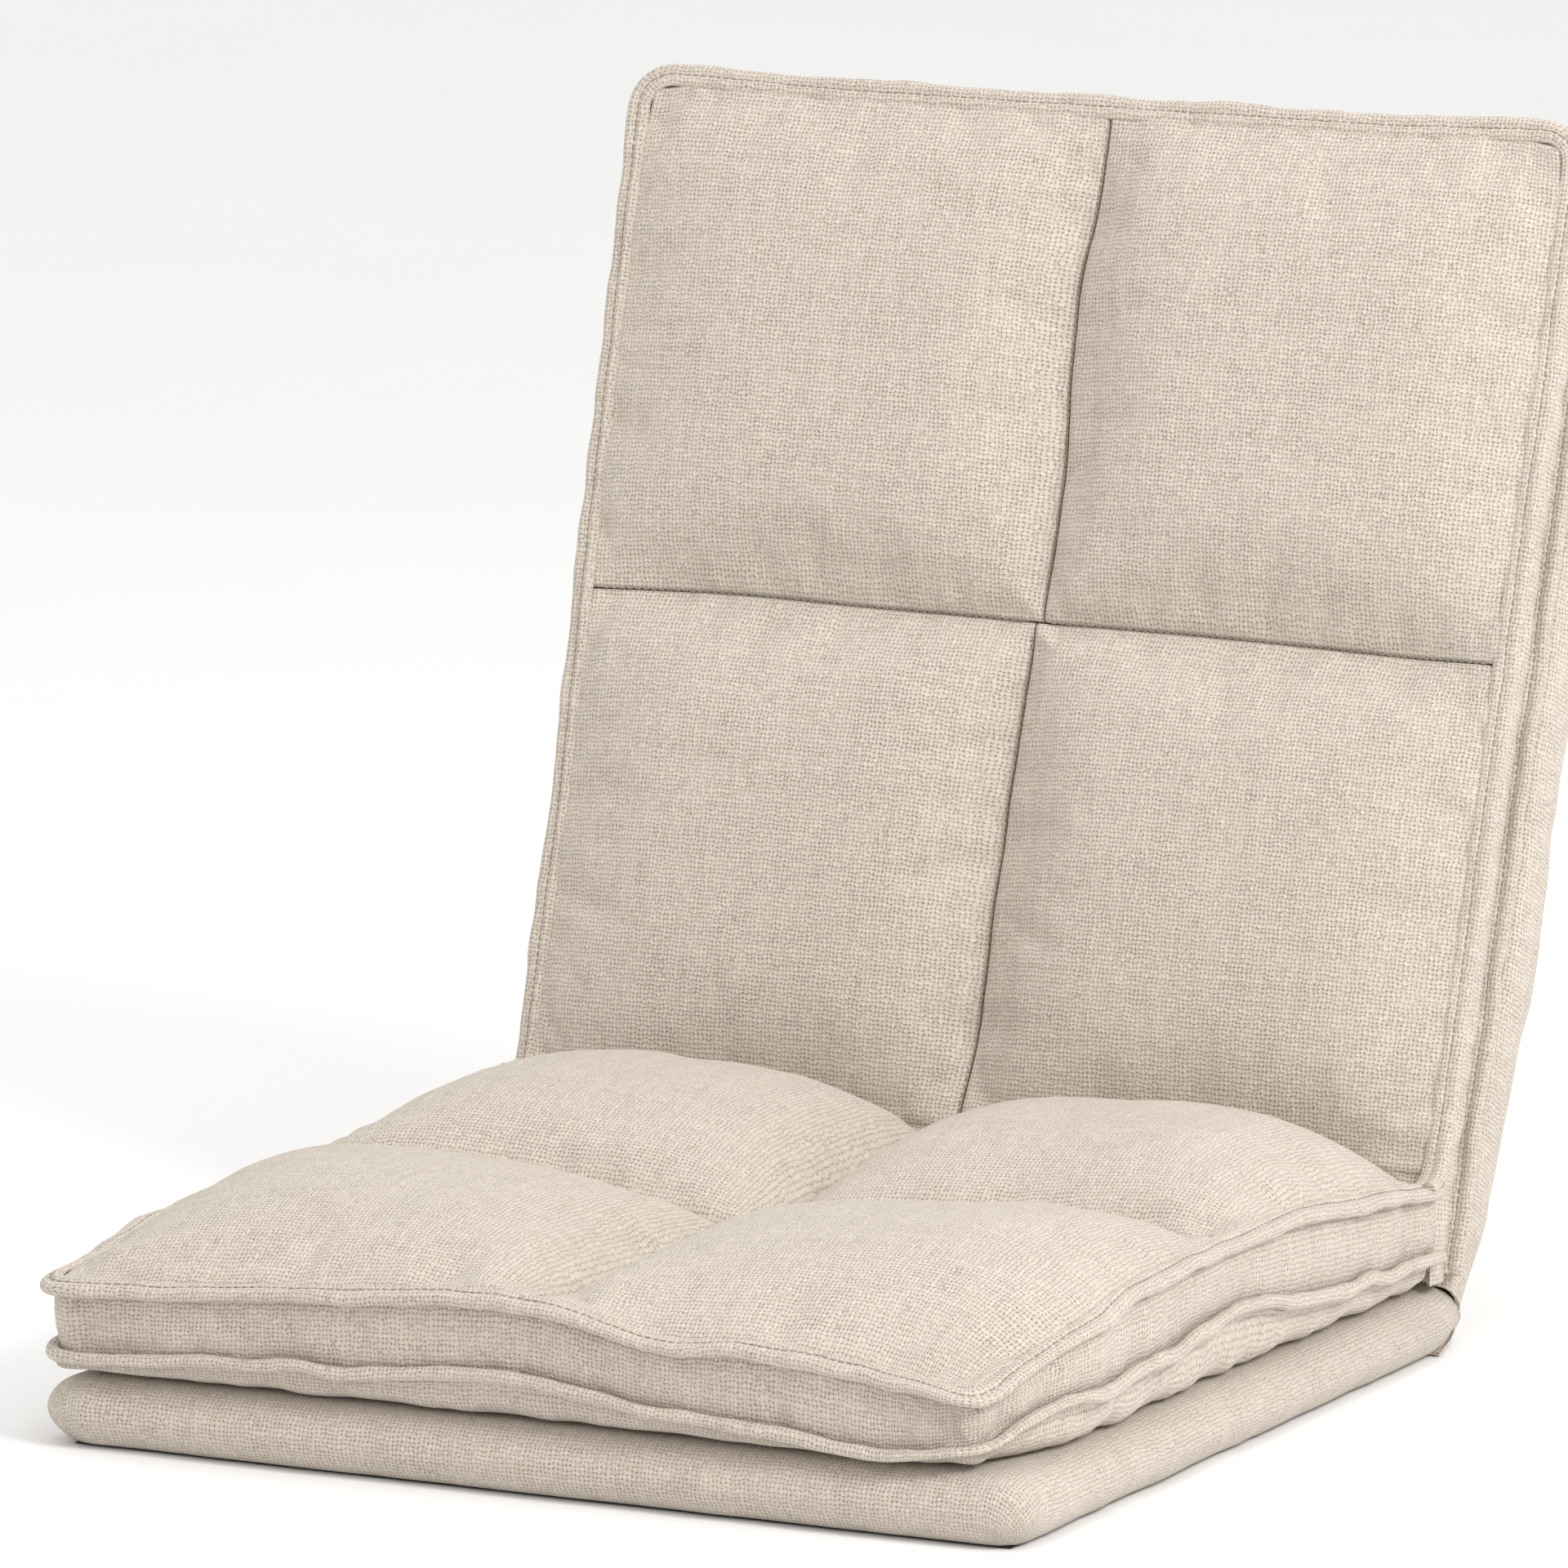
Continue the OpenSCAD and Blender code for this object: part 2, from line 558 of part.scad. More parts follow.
coil_h = 4;
coil_t = 1.6;
tape_end = 6;    // how far the tapes run past the coil
tape_w = 12;     // width of each tape, from the zip's centre line

// Two tapes behind the slot and the closed coil that stands in it.
module zip_tape() color("tan") {
    tape_y = pad_rear_y - cloth_t;
    box(-zip_len/2 - tape_end, zip_len/2 + tape_end, tape_y - lining_t, tape_y, zip_z - tape_w, zip_z + tape_w);
    box(-zip_len/2, zip_len/2, tape_y, tape_y + coil_t, zip_z - coil_h/2, zip_z + coil_h/2);
}

slider_l = 14;
slider_h = 7.2;
slider_t = 4;
slider_play = 0.4;   // between the slider and the coil
slider_rest_x = -zip_len/2 + slider_l;

module zip_slider() color("silver") difference() {
    y0 = pad_rear_y - cloth_t + slider_play;
    box(slider_rest_x - slider_l/2, slider_rest_x + slider_l/2, y0, y0 + slider_t,
        zip_z - slider_h/2, zip_z + slider_h/2);
    box(slider_rest_x - slider_l, slider_rest_x + slider_l, y0 - eps, y0 + coil_t,
        zip_z - coil_h/2 - slider_play, zip_z + coil_h/2 + slider_play);
}

module loop_strips() color("tan") translate([0, 0, base_z - strip_t]) strip_places() strip();

seat_board();
seat_tnuts();
deck_foam();
deck_cover();
dust_cover();
deck_staples();
deck_hook_strips();
corner_brackets();
bracket_screws();
back_board();
back_shell_foam();
back_shell_cover();
back_rear_panel();
back_staples();
back_core();
back_wadding();
back_panel(-1, 1);  // back_panel_ul
back_panel(1, 1);  // back_panel_ur
back_panel(-1, -1);  // back_panel_ll
back_panel(1, -1);  // back_panel_lr
back_gusset();
back_base_panel();
back_front_flange();
back_rear_flange();
back_cross_stitch();
back_topstitch();
crease_seam();
seat_core();
seat_wadding();
seat_panel(-1, -1);  // seat_panel_fl
seat_panel(1, -1);  // seat_panel_fr
seat_panel(-1, 1);  // seat_panel_rl
seat_panel(1, 1);  // seat_panel_rr
seat_gusset();
seat_base_panel();
seat_top_flange();
seat_base_flange();
seat_cross_stitch();
seat_topstitch();
zip_tape();
loop_strips();
zip_slider();
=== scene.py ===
import json
import math

import bpy
import numpy as np
from mathutils import Matrix, Vector


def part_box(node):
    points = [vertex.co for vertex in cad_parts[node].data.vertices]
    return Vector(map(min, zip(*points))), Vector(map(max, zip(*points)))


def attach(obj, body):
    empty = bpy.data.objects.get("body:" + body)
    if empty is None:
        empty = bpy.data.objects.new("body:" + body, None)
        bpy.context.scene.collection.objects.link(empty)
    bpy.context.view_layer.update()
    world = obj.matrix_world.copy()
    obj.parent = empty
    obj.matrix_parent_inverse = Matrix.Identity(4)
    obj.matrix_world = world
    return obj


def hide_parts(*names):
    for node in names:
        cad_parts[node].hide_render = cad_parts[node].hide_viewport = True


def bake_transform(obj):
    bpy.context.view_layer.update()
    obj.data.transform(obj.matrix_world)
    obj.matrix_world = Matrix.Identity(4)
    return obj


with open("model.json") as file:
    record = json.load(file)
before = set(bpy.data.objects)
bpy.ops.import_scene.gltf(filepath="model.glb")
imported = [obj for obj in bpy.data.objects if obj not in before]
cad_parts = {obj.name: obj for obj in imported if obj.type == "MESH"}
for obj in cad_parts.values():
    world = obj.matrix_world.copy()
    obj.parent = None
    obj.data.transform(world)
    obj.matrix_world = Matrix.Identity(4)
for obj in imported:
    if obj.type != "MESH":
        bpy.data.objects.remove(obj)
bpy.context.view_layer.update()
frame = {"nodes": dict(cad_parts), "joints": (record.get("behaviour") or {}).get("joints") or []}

MM = 0.001
scene = bpy.context.scene

# ---- Measures, all from the CAD frame ----

hinge = next(j for j in frame["joints"] if j["name"] == "seat_lift")["pos_m"]
board_faces = frame["nodes"]["back_board"].data.polygons
board_normal = max(board_faces, key=lambda p: p.area).normal
RECLINE = math.atan2(abs(board_normal.z), abs(board_normal.y))
COS, SIN = math.cos(RECLINE), math.sin(RECLINE)
CREASE_Y, CREASE_Z = hinge[1], hinge[2]


def back_coords(points):
    """World points as (x, distance up the slope, height in front of the back's flange plane)."""
    dy, dz = points[..., 1] - CREASE_Y, points[..., 2] - CREASE_Z
    return np.stack([points[..., 0], dy * SIN + dz * COS, dz * SIN - dy * COS], -1)


def back_world(points):
    x, up, out = points[..., 0], points[..., 1], points[..., 2]
    return np.stack([x, CREASE_Y - out * COS + up * SIN, CREASE_Z + out * SIN + up * COS], -1)


def node_points(name):
    return np.array([v.co for v in frame["nodes"][name].data.vertices], float)


def back_box(name):
    points = back_coords(node_points(name))
    return points.min(0), points.max(0)


band_lo, band_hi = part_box("seat_gusset")
PAD_X = band_hi.x
SEAT_FRONT, SEAT_REAR = band_lo.y, band_hi.y
SEAT_TOP = CREASE_Z
LOW_SEAM = sum(v.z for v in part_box("seat_base_flange")) / 2
SEAT_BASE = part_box("seat_base_panel")[0].z
FLANGE_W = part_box("seat_top_flange")[1].x - PAD_X
BACK_TOP = back_box("back_gusset")[1][1]
BACK_DEPTH = -back_box("back_rear_flange")[0][2]
shell_lo, shell_hi = back_box("back_shell_cover")
SHELL_N, REAR_N = -shell_hi[2], -shell_lo[2]
SHELL_X, SHELL_LEN = shell_hi[0], shell_hi[1]
deck_lo, deck_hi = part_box("deck_cover")
DECK_X, DECK_FRONT, DECK_TOP = deck_hi.x, deck_lo.y, deck_hi.z
MITRE_Y, MITRE_Z = deck_hi.y, 9 * MM
mitre_in_y = CREASE_Y + SHELL_N * COS + (DECK_TOP - CREASE_Z + SHELL_N * SIN) / COS * SIN
CLOTH_T = 1.4 * MM
THREAD_PITCH = 2.1 * MM


# ---- Small numeric helpers ----

def ripple(s, seed, longest=0.16, shortest=0.02, terms=7):
    """Smooth hand-sewn unevenness along s, about -1 to 1, the same for the same seed."""
    rng = np.random.default_rng(seed)
    total = np.zeros_like(np.asarray(s, float))
    for wave in np.geomspace(longest, shortest, terms):
        phase = rng.uniform(0, 2 * math.pi)
        total = total + (wave / longest) ** 0.5 * np.sin(2 * math.pi * s / wave + phase)
    return total / 2.2


def smooth_curve(x, knots, values):
    """Smooth curve through values given at knots."""
    knots, values = np.asarray(knots, float), np.asarray(values, float)
    slopes = np.gradient(values, knots)
    x = np.clip(x, knots[0], knots[-1])
    k = np.clip(np.searchsorted(knots, x) - 1, 0, len(knots) - 2)
    span = knots[k + 1] - knots[k]
    t = (x - knots[k]) / span
    return (
        (2 * t**3 - 3 * t**2 + 1) * values[k] + (t**3 - 2 * t**2 + t) * span * slopes[k]
        + (3 * t**2 - 2 * t**3) * values[k + 1] + (t**3 - t**2) * span * slopes[k + 1]
    )


def ramp(x, width=1.0):
    """0 at x = 0, rising straight to 1 at width."""
    return np.clip(x / width, 0, 1)


def smooth_step(t):
    t = ramp(t)
    return t * t * (3 - 2 * t)


def fade(x, width):
    """1 at x = 0, falling smoothly to 0 at width on both sides."""
    return smooth_step(1 - np.abs(x) / width)


def unit(vectors):
    return vectors / np.maximum(np.linalg.norm(vectors, axis=-1, keepdims=True), 1e-12)


def grid_normals(grid):
    return unit(np.cross(np.gradient(grid, axis=0), np.gradient(grid, axis=1)))


def arc_lengths(points):
    steps = np.linalg.norm(np.diff(points, axis=0), axis=-1)
    return np.concatenate([np.zeros((1,) + steps.shape[1:]), np.cumsum(steps, 0)])


def read_line(at, s, line):
    """Points at lengths along a line whose own points lie at lengths s."""
    return np.stack([np.interp(at, s, line[:, k]) for k in range(line.shape[1])], -1)


def strip_uv(along, across):
    """Cut-pattern coordinates of a strip of cloth, in metres."""
    return np.stack(np.broadcast_arrays(along[:, None], across[None]), -1)


# ---- Mesh makers ----

def make_object(name, verts, faces, loop_uvs=None):
    mesh = bpy.data.meshes.new(name)
    mesh.from_pydata(np.asarray(verts).reshape(-1, 3).tolist(), [], faces)
    if loop_uvs is not None:
        mesh.uv_layers.new(name="UVMap").data.foreach_set("uv", np.asarray(loop_uvs, np.float32).ravel())
    mesh.polygons.foreach_set("use_smooth", [True] * len(mesh.polygons))
    obj = bpy.data.objects.new(name, mesh)
    scene.collection.objects.link(obj)
    return obj


def face_outward(obj):
    """Turns a closed mesh's faces outward, by the sign of its volume."""
    mesh = obj.data
    co = np.zeros(len(mesh.vertices) * 3)
    mesh.vertices.foreach_get("co", co)
    co = co.reshape(-1, 3)
    mesh.calc_loop_triangles()
    tri = np.zeros(len(mesh.loop_triangles) * 3, int)
    mesh.loop_triangles.foreach_get("vertices", tri)
    a, b, c = co[tri.reshape(-1, 3)].transpose(1, 0, 2)
    if (np.cross(a, b) * c).sum() < 0:
        mesh.flip_normals()
    return obj


def subdivide(obj, levels=1):
    """Applies a subdivision surface, so that the final mesh is the smooth one."""
    obj.modifiers.new("Subdivision", "SUBSURF").levels = levels
    obj.modifiers[0].render_levels = levels
    graph = bpy.context.evaluated_depsgraph_get()
    mesh = bpy.data.meshes.new_from_object(obj.evaluated_get(graph))
    obj.modifiers.clear()
    old, obj.data = obj.data, mesh
    bpy.data.meshes.remove(old)
    mesh.name = obj.name
    return obj


def grid_quads(n, m, closed=False):
    i, j = np.meshgrid(np.arange(n if closed else n - 1), np.arange(m - 1), indexing="ij")
    i1 = (i + 1) % n
    return np.stack([i * m + j, i1 * m + j, i1 * m + j + 1, i * m + j + 1], -1).reshape(-1, 4)


def cloth_piece(name, grid, uvs, outward, thickness=CLOTH_T, levels=1):
    """Cloth of a real thickness over an n by m grid of points. outward roughly says which way
    the face side looks."""
    n, m = grid.shape[:2]
    normals = grid_normals(grid)
    if (normals * outward).sum(-1).mean() < 0:
        normals = -normals
    verts = np.concatenate([grid.reshape(-1, 3), (grid - normals * thickness).reshape(-1, 3)])
    face_side = grid_quads(n, m)
    back_side = face_side[:, ::-1]
    rows, columns = np.arange(n) * m, np.arange(m)
    rims, rim_uvs = [], []
    for line in (rows[::-1], rows + m - 1, columns, (columns + (n - 1) * m)[::-1]):
        a, b = line[:-1], line[1:]
        rims.append(np.stack([b, a, a + n * m, b + n * m], -1))
        rim_uvs.append(np.stack([b, a, a, b], -1))
    faces = np.concatenate([face_side, back_side + n * m] + rims)
    index = np.concatenate([face_side, back_side] + rim_uvs)
    obj = face_outward(make_object(name, verts, faces.tolist(), uvs.reshape(-1, 2)[index]))
    return subdivide(obj, levels) if levels else obj


def swept_piece(name, sections, uvs, levels=1):
    """Solid swept through n closed sections of m points. uvs has m + 1 columns."""
    n, m = sections.shape[:2]
    i, j = np.meshgrid(np.arange(n - 1), np.arange(m), indexing="ij")
    i1, j1 = i + 1, (j + 1) % m
    quads = np.stack([i * m + j, i1 * m + j, i1 * m + j1, i * m + j1], -1).reshape(-1, 4)
    uv_quads = np.stack([uvs[i, j], uvs[i1, j], uvs[i1, j + 1], uvs[i, j + 1]], -2).reshape(-1, 2)
    ends = [list(range(m)), list(range(n * m - 1, (n - 1) * m - 1, -1))]
    uv_quads = np.concatenate([uv_quads, uvs[0, :m], uvs[-1, :m][::-1]])
    obj = face_outward(make_object(name, sections, quads.tolist() + ends, uv_quads))
    return subdivide(obj, levels) if levels else obj


def capsules(name, starts, ends, radius, lift, bow=0.0, rings=5, sides=6):
    """Short rounded stitches from starts to ends, each bowed outward along lift."""
    axis = ends - starts
    length = np.linalg.norm(axis, axis=-1, keepdims=True)
    axis = unit(axis)
    lift = unit(lift - (lift * axis).sum(-1, keepdims=True) * axis)
    side = np.cross(axis, lift)
    t = np.linspace(0, 1, rings)
    width = radius * np.sqrt(np.clip(1 - np.abs(2 * t - 1) ** 4, 0.12, 1))
    rise = bow * (1 - (2 * t - 1) ** 2)
    angle = np.arange(sides) * 2 * math.pi / sides
    centre = starts[:, None] + axis[:, None] * t[None, :, None] * length[:, None]
    centre = centre + lift[:, None] * rise[None, :, None]
    hoops = (
        lift[:, None, None] * np.cos(angle)[None, None, :, None]
        + side[:, None, None] * np.sin(angle)[None, None, :, None]
    ) * width[None, :, None, None]
    base = np.arange(len(starts))[:, None, None] * rings * sides
    r, s = np.meshgrid(np.arange(rings - 1), np.arange(sides), indexing="ij")
    s1 = (s + 1) % sides
    quads = np.stack([r * sides + s, r * sides + s1, (r + 1) * sides + s1, (r + 1) * sides + s], -1)
    faces = (quads.reshape(-1, 4)[None] + base).reshape(-1, 4).tolist()
    first = (np.arange(sides)[::-1][None] + base[:, 0]).tolist()
    last = (np.arange(sides)[None] + base[:, 0] + (rings - 1) * sides).tolist()
    return face_outward(make_object(name, centre[:, :, None] + hoops, faces + first + last))


def join(name, objects):
    """One piece from several meshes."""
    for o in bpy.context.selected_objects:
        o.select_set(False)
    for o in objects:
        o.select_set(True)
    bpy.context.view_layer.objects.active = objects[0]
    bpy.ops.object.join()
    objects[0].name = objects[0].data.name = name
    objects[0].select_set(False)
    return objects[0]


# ---- Seam paths ----

def u_line(hx, length, radius, foot, side, arc, front):
    """Points and outward normals of a U of half width hx, from its open foot round its closed end
    and back. Points are (x, b), with b measured from the foot. side, arc and front say how many
    points a straight side, a corner and the end have."""
    b = np.linspace(foot, length - radius, side, endpoint=False)
    turn = np.linspace(0, math.pi / 2, arc, endpoint=False)
    outward = np.stack([-np.cos(turn), np.sin(turn)], -1)
    corner = np.array([-hx + radius, length - radius]) + radius * outward
    half = np.concatenate([np.stack([np.full(side, -hx), b], -1), corner])
    across = np.linspace(-hx + radius, hx - radius, front + 1)
    end = np.stack([across, np.full(front + 1, length)], -1)
    points = np.concatenate([half, end, half[::-1] * [-1, 1]])
    half = np.concatenate([np.tile([-1.0, 0.0], (side, 1)), outward])
    normals = np.concatenate([half, np.tile([0.0, 1.0], (front + 1, 1)), half[::-1] * [-1, 1]])
    return points, normals


class Path:
    """Seam line along a U, with its points about a step apart, read by its length s."""

    def __init__(self, hx, length, radius, foot, step=5 * MM):
        side = max(2, round((length - radius - foot) / step))
        arc = max(4, round(radius * math.pi / 2 / (step * 0.5)))
        front = max(2, round(2 * (hx - radius) / step))
        self.points, self.normals = u_line(hx, length, radius, foot, side, arc, front)
        self.s = arc_lengths(self.points)

    def at(self, s):
        return read_line(s, self.s, self.points), unit(read_line(s, self.s, self.normals))


def ring(hx, length, radius, foot, counts=(70, 9, 84)):
    """A U that has the same number of points at every size, for covers made of nested rings."""
    return u_line(hx, length, min(max(radius, 0.4 * MM), 0.8 * hx), foot, *counts)


# ---- Waves of the seams ----

EIGHTHS = np.linspace(0, 1, 9)
TOP_FRONT = np.array([-9, -6, -1, 4, 6, -6, -4, -10, -17]) * MM
TOP_RIGHT = (
    [0, 0.12, 0.25, 0.4, 0.55, 0.7, 0.85, 1], np.array([-17, 2, 13, 15, 16, 14, 7, 0]) * MM)
TOP_LEFT = (np.linspace(0, 1, 8), np.array([-9, 0, 6, 8, 7, 5, 2, 0]) * MM)
LOW_FRONT = np.array([-9, -5, -1, 0, 4, -3, -8, -12, -6]) * MM
LOW_RIGHT = (
    [0, 0.1, 0.2, 0.3, 0.4, 0.5, 0.65, 0.85, 1], np.array([-6, 6, 8, 8, 15, 17, 9, 2, 0]) * MM)
LOW_LEFT = (np.linspace(0, 1, 8), np.array([-9, 2, 6, 9, 8, 5, 1, 0]) * MM)
EDGE_REACH = 0.3     # share of the pad over which an edge's wave dies out
EAR, EAR_REACH = 6 * MM, 45 * MM        # the left front corner stands out
DROOP, DROOP_REACH = 20 * MM, 80 * MM  # the right front corner is rounder and hangs


def edge_waves(u, v, front, right, left):
    """Height of the wavy outline carried into the pad at u across and v back from the front."""
    f = smooth_curve(u, EIGHTHS, front)
    r, l = smooth_curve(v, *right), smooth_curve(v, *left)
    bf, bl, br = fade(v, EDGE_REACH), fade(u, EDGE_REACH), fade(1 - u, EDGE_REACH)
    return bf * f + bl * l + br * r - bl * bf * front[0] - br * bf * front[-1]


def seat_world(points):
    """Seat section coordinates (x, y, z) with the waves of both flanged seams put in."""
    x, y, z = np.moveaxis(points, -1, 0)
    u = ramp(x + PAD_X, 2 * PAD_X)
    v = ramp(y - SEAT_FRONT, SEAT_REAR - SEAT_FRONT)
    top = edge_waves(u, v, TOP_FRONT, TOP_RIGHT, TOP_LEFT)
    low = edge_waves(u, v, LOW_FRONT, LOW_RIGHT, LOW_LEFT)
    up = ramp(z - LOW_SEAM, SEAT_TOP - LOW_SEAM)
    down = ramp(z - SEAT_BASE, LOW_SEAM - SEAT_BASE)
    ear = EAR * fade(np.hypot(x + PAD_X, y - SEAT_FRONT), EAR_REACH) * (0.4 + 0.6 * up)
    droop = DROOP * fade(np.hypot(x - PAD_X, y - SEAT_FRONT), DROOP_REACH)
    raised = z + (low + (top - low) * up) * down - 0.08 * droop * up * down
    height = np.maximum(raised, np.minimum(z, SEAT_BASE + 0.4 * MM))
    return np.stack([x - ear - droop, y - 0.5 * ear + 0.25 * droop, height], -1)


def seat_point(path_points, height):
    """Seat section coordinates of (x, b) on a seam path at a height."""
    return np.stack([path_points[..., 0], SEAT_REAR - path_points[..., 1], height], -1)


def back_point(path_points, height):
    return np.stack([path_points[..., 0], path_points[..., 1], height], -1)


# ---- Simulated cloth ----

sims = []
SIM_FRAMES = 24


def drape(name, grid, pressure, growth, stiffness=12.0, bending=0.6):
    """Adds a grid of points as cloth, pinned all round, under outward pressure; run_cloth() moves it."""
    obj = make_object("sim_" + name, grid, grid_quads(*grid.shape[:2]).tolist())
    edge = np.ones(grid.shape[:2], bool)
    edge[1:-1, 1:-1] = False
    obj.vertex_groups.new(name="pinned").add(np.nonzero(edge.ravel())[0].tolist(), 1.0, "REPLACE")
    cloth = obj.modifiers.new("Cloth", "CLOTH")
    c = cloth.settings
    c.quality, c.mass, c.time_scale = 6, 0.25, 1.0
    c.tension_stiffness = c.compression_stiffness = stiffness
    c.shear_stiffness, c.bending_stiffness = stiffness * 0.4, bending
    c.tension_damping = c.compression_damping = c.shear_damping = 12
    c.bending_damping = 1.0
    c.vertex_group_mass, c.pin_stiffness = "pinned", 1.0
    c.use_pressure, c.uniform_pressure_force = True, pressure
    c.shrink_min = c.shrink_max = -growth
    c.effector_weights.gravity = 0
    cloth.collision_settings.use_collision = False
    cloth.point_cache.frame_start, cloth.point_cache.frame_end = 1, SIM_FRAMES
    sims.append((name, obj, grid.shape))


def run_cloth():
    """Runs every drape together and returns name -> grid of settled points."""
    for f in range(1, SIM_FRAMES + 1):
        scene.frame_set(f)
    graph = bpy.context.evaluated_depsgraph_get()
    done = {}
    for name, obj, shape in sims:
        mesh = obj.evaluated_get(graph).data
        co = np.zeros(len(mesh.vertices) * 3)
        mesh.vertices.foreach_get("co", co)
        done[name] = co.reshape(shape)
    for _, obj, _ in sims:
        mesh = obj.data
        bpy.data.objects.remove(obj)
        bpy.data.meshes.remove(mesh)
    scene.frame_set(1)
    return done


def graded(n, sharp=0.45):
    """0 to 1 in n steps, closer together at both ends."""
    t = np.linspace(0, 1, n + 1)
    return (1 - sharp) * t + sharp * (0.5 - 0.5 * np.cos(math.pi * t))


PANEL_STEPS = 46
SKIRT = 7 * MM           # seam allowance that runs down into each valley
SEAM_REACH = 14 * MM     # how far from a cross seam the cloth starts to run down into it
SEAM_GAP = 0.3 * MM      # between a quarter and the middle of a cross seam
BACK_WIDEN = (
    np.array([-40, 0, 80, 170, 240, 330, 420, 500]) * MM, np.array([-4, -5, -5, -3, 0, 3, 6, 8]) * MM)
BACK_SEAM_SAG = ([0, 0.12, 0.3, 0.5, 0.7, 0.88, 1], np.array([-2, 1.2, 0.6, 0, -0.4, -2.2, -3.5]) * MM)
BOW, BOW_UP = 5 * MM, 0.40     # how far, and how high up, the back's upright seam bends to one side


def back_shaped(points):
    """Back section coordinates to the world, with its fuller left side, its drawn-out top corners
    and the bends of its cross seam."""
    x, up, out = np.moveaxis(points, -1, 0)
    left = ramp(-x, PAD_X) ** 2
    corner = fade(BACK_TOP - up, 60 * MM) * fade(PAD_X - np.abs(x), 110 * MM)
    bow = BOW * fade(up - BOW_UP, 90 * MM) * fade(x, 120 * MM)
    sway = 0.8 * MM * ripple(up, 431, 0.22, 0.05, 4) * fade(x, 100 * MM)
    sag = smooth_curve((x + PAD_X) / (2 * PAD_X), *BACK_SEAM_SAG) * fade(up - BACK_TOP / 2, 90 * MM)
    wide = x - left * smooth_curve(up, *BACK_WIDEN) - bow + sway
    return back_world(np.stack([wide, up + 2.5 * MM * corner + sag, out], -1))


class Quarter:
    """One quilted quarter in its section's flat coordinates (x, a, height). sx and sa tell which
    side of the cross seams it is on, fullness how square its pillow is, shift where the upright
    seam lies and lean how far the crown is moved along a."""

    def __init__(self, name, sx, sa, a_span, base, crown, fullness, dip, growth, pressure,
                 shift=0.0, lean=1.0):
        self.name, self.sx, self.sa, self.base = name, sx, sa, base
        mid = sum(a_span) / 2
        x0, x1 = (shift, PAD_X) if sx > 0 else (-PAD_X, shift)
        a0, a1 = (mid, a_span[1]) if sa > 0 else (a_span[0], mid)
        self.span = x0, x1, a0, a1
        gu, gv = np.meshgrid(graded(PANEL_STEPS), graded(PANEL_STEPS), indexing="ij")
        gx, ga = x0 + (x1 - x0) * gu, a0 + (a1 - a0) * gv
        self.flat = np.stack([gx, ga], -1)
        full = (1 - np.abs(2 * gu - 1) ** fullness) * (1 - np.abs(2 * gv**lean - 1) ** fullness)
        seam_x = self.pulled(ga, a_span, sa) * fade(gx - shift, SEAM_REACH)
        seam_a = self.pulled(gx, (-PAD_X, PAD_X), sx) * fade(ga - mid, SEAM_REACH)
        height = base + crown * full - dip * np.maximum(seam_x, seam_a)
        drape(name, np.stack([gx, ga, height], -1), pressure, growth)

    @staticmethod
    def pulled(along, span, side):
        """How far the cross seam is pulled down: not at the outer flange, fully further in."""
        outer = span[1] if side > 0 else span[0]
        return smooth_step(np.abs(along - outer) / (55 * MM))


def with_skirt(grid, flat, depth):
    """Adds two rows that run down from every edge: the seam allowance of the quarter."""
    for axis in (0, 1):
        for edge, inner in ((0, 1), (-1, -2)):
            line, flat_line = np.take(grid, edge, axis), np.take(flat, edge, axis)
            inward = unit((np.take(grid, inner, axis) - line) * [1, 1, 0])
            onward = unit(flat_line - np.take(flat, inner, axis))
            shares = (1.0, 0.45) if edge == 0 else (0.45, 1.0)
            rows = [line + (inward * 0.15 * MM - [0, 0, depth]) * share for share in shares]
            flats = [flat_line + onward * depth * share for share in shares]
            grids, plans = [np.stack(rows, axis), grid], [np.stack(flats, axis), flat]
            if edge:
                grids, plans = grids[::-1], plans[::-1]
            grid, flat = np.concatenate(grids, axis), np.concatenate(plans, axis)
    return grid, flat


def soft_cap(h, limit):
    """Flattens heights above 55% of limit, never reaching past limit."""
    knee = 0.55 * limit
    room = limit - knee
    return np.where(h > knee, knee + room * np.tanh(np.maximum(h - knee, 0) / room), h)


seat_span, back_span = (SEAT_FRONT, SEAT_REAR), (3.5 * MM, BACK_TOP)
quarters = {}
for end, sa, crown, fullness, lean in (("f", -1, 28 * MM, 2.7, 1.0), ("r", 1, 36 * MM, 3.2, 1.25)):
    for side, sx in (("l", -1), ("r", 1)):
        name = "seat_panel_" + end + side
        quarters[name] = Quarter(
            name, sx, sa, seat_span, SEAT_TOP, crown, fullness, dip=11 * MM, growth=0.018, pressure=6.0,
            lean=lean)
for end, sa, shift in (("l", -1, -4 * MM), ("u", 1, 0.0)):
    for side, sx in (("l", -1), ("r", 1)):
        name = "back_panel_" + end + side
        quarters[name] = Quarter(
            name, sx, sa, back_span, 0.0, 14 * MM, 3.2, dip=7 * MM, growth=0.014, pressure=5.0, shift=shift)

# Side bands. The seat's runs all round, the back's down both sides and over the top.
CORNER_R = 13 * MM
REAR_TUCK = 10.5 * MM    # how far the seat's side bands run on past its rear band, to meet the back's
BAND_FOOT = 40 * MM      # how far the back's side bands run down past the crease
seat_path = Path(PAD_X, SEAT_REAR - SEAT_FRONT, CORNER_R, -REAR_TUCK)
back_path = Path(PAD_X, BACK_TOP, CORNER_R, -BAND_FOOT)
BAND_ROWS = np.linspace(0, 1, 11)


def swollen(path, bulge):
    """Points of a path for every band row, pushed out by a bulge between the two seams."""
    push = bulge * np.sin(math.pi * BAND_ROWS)
    return path.points[:, None] + path.normals[:, None] * push[None, :, None]


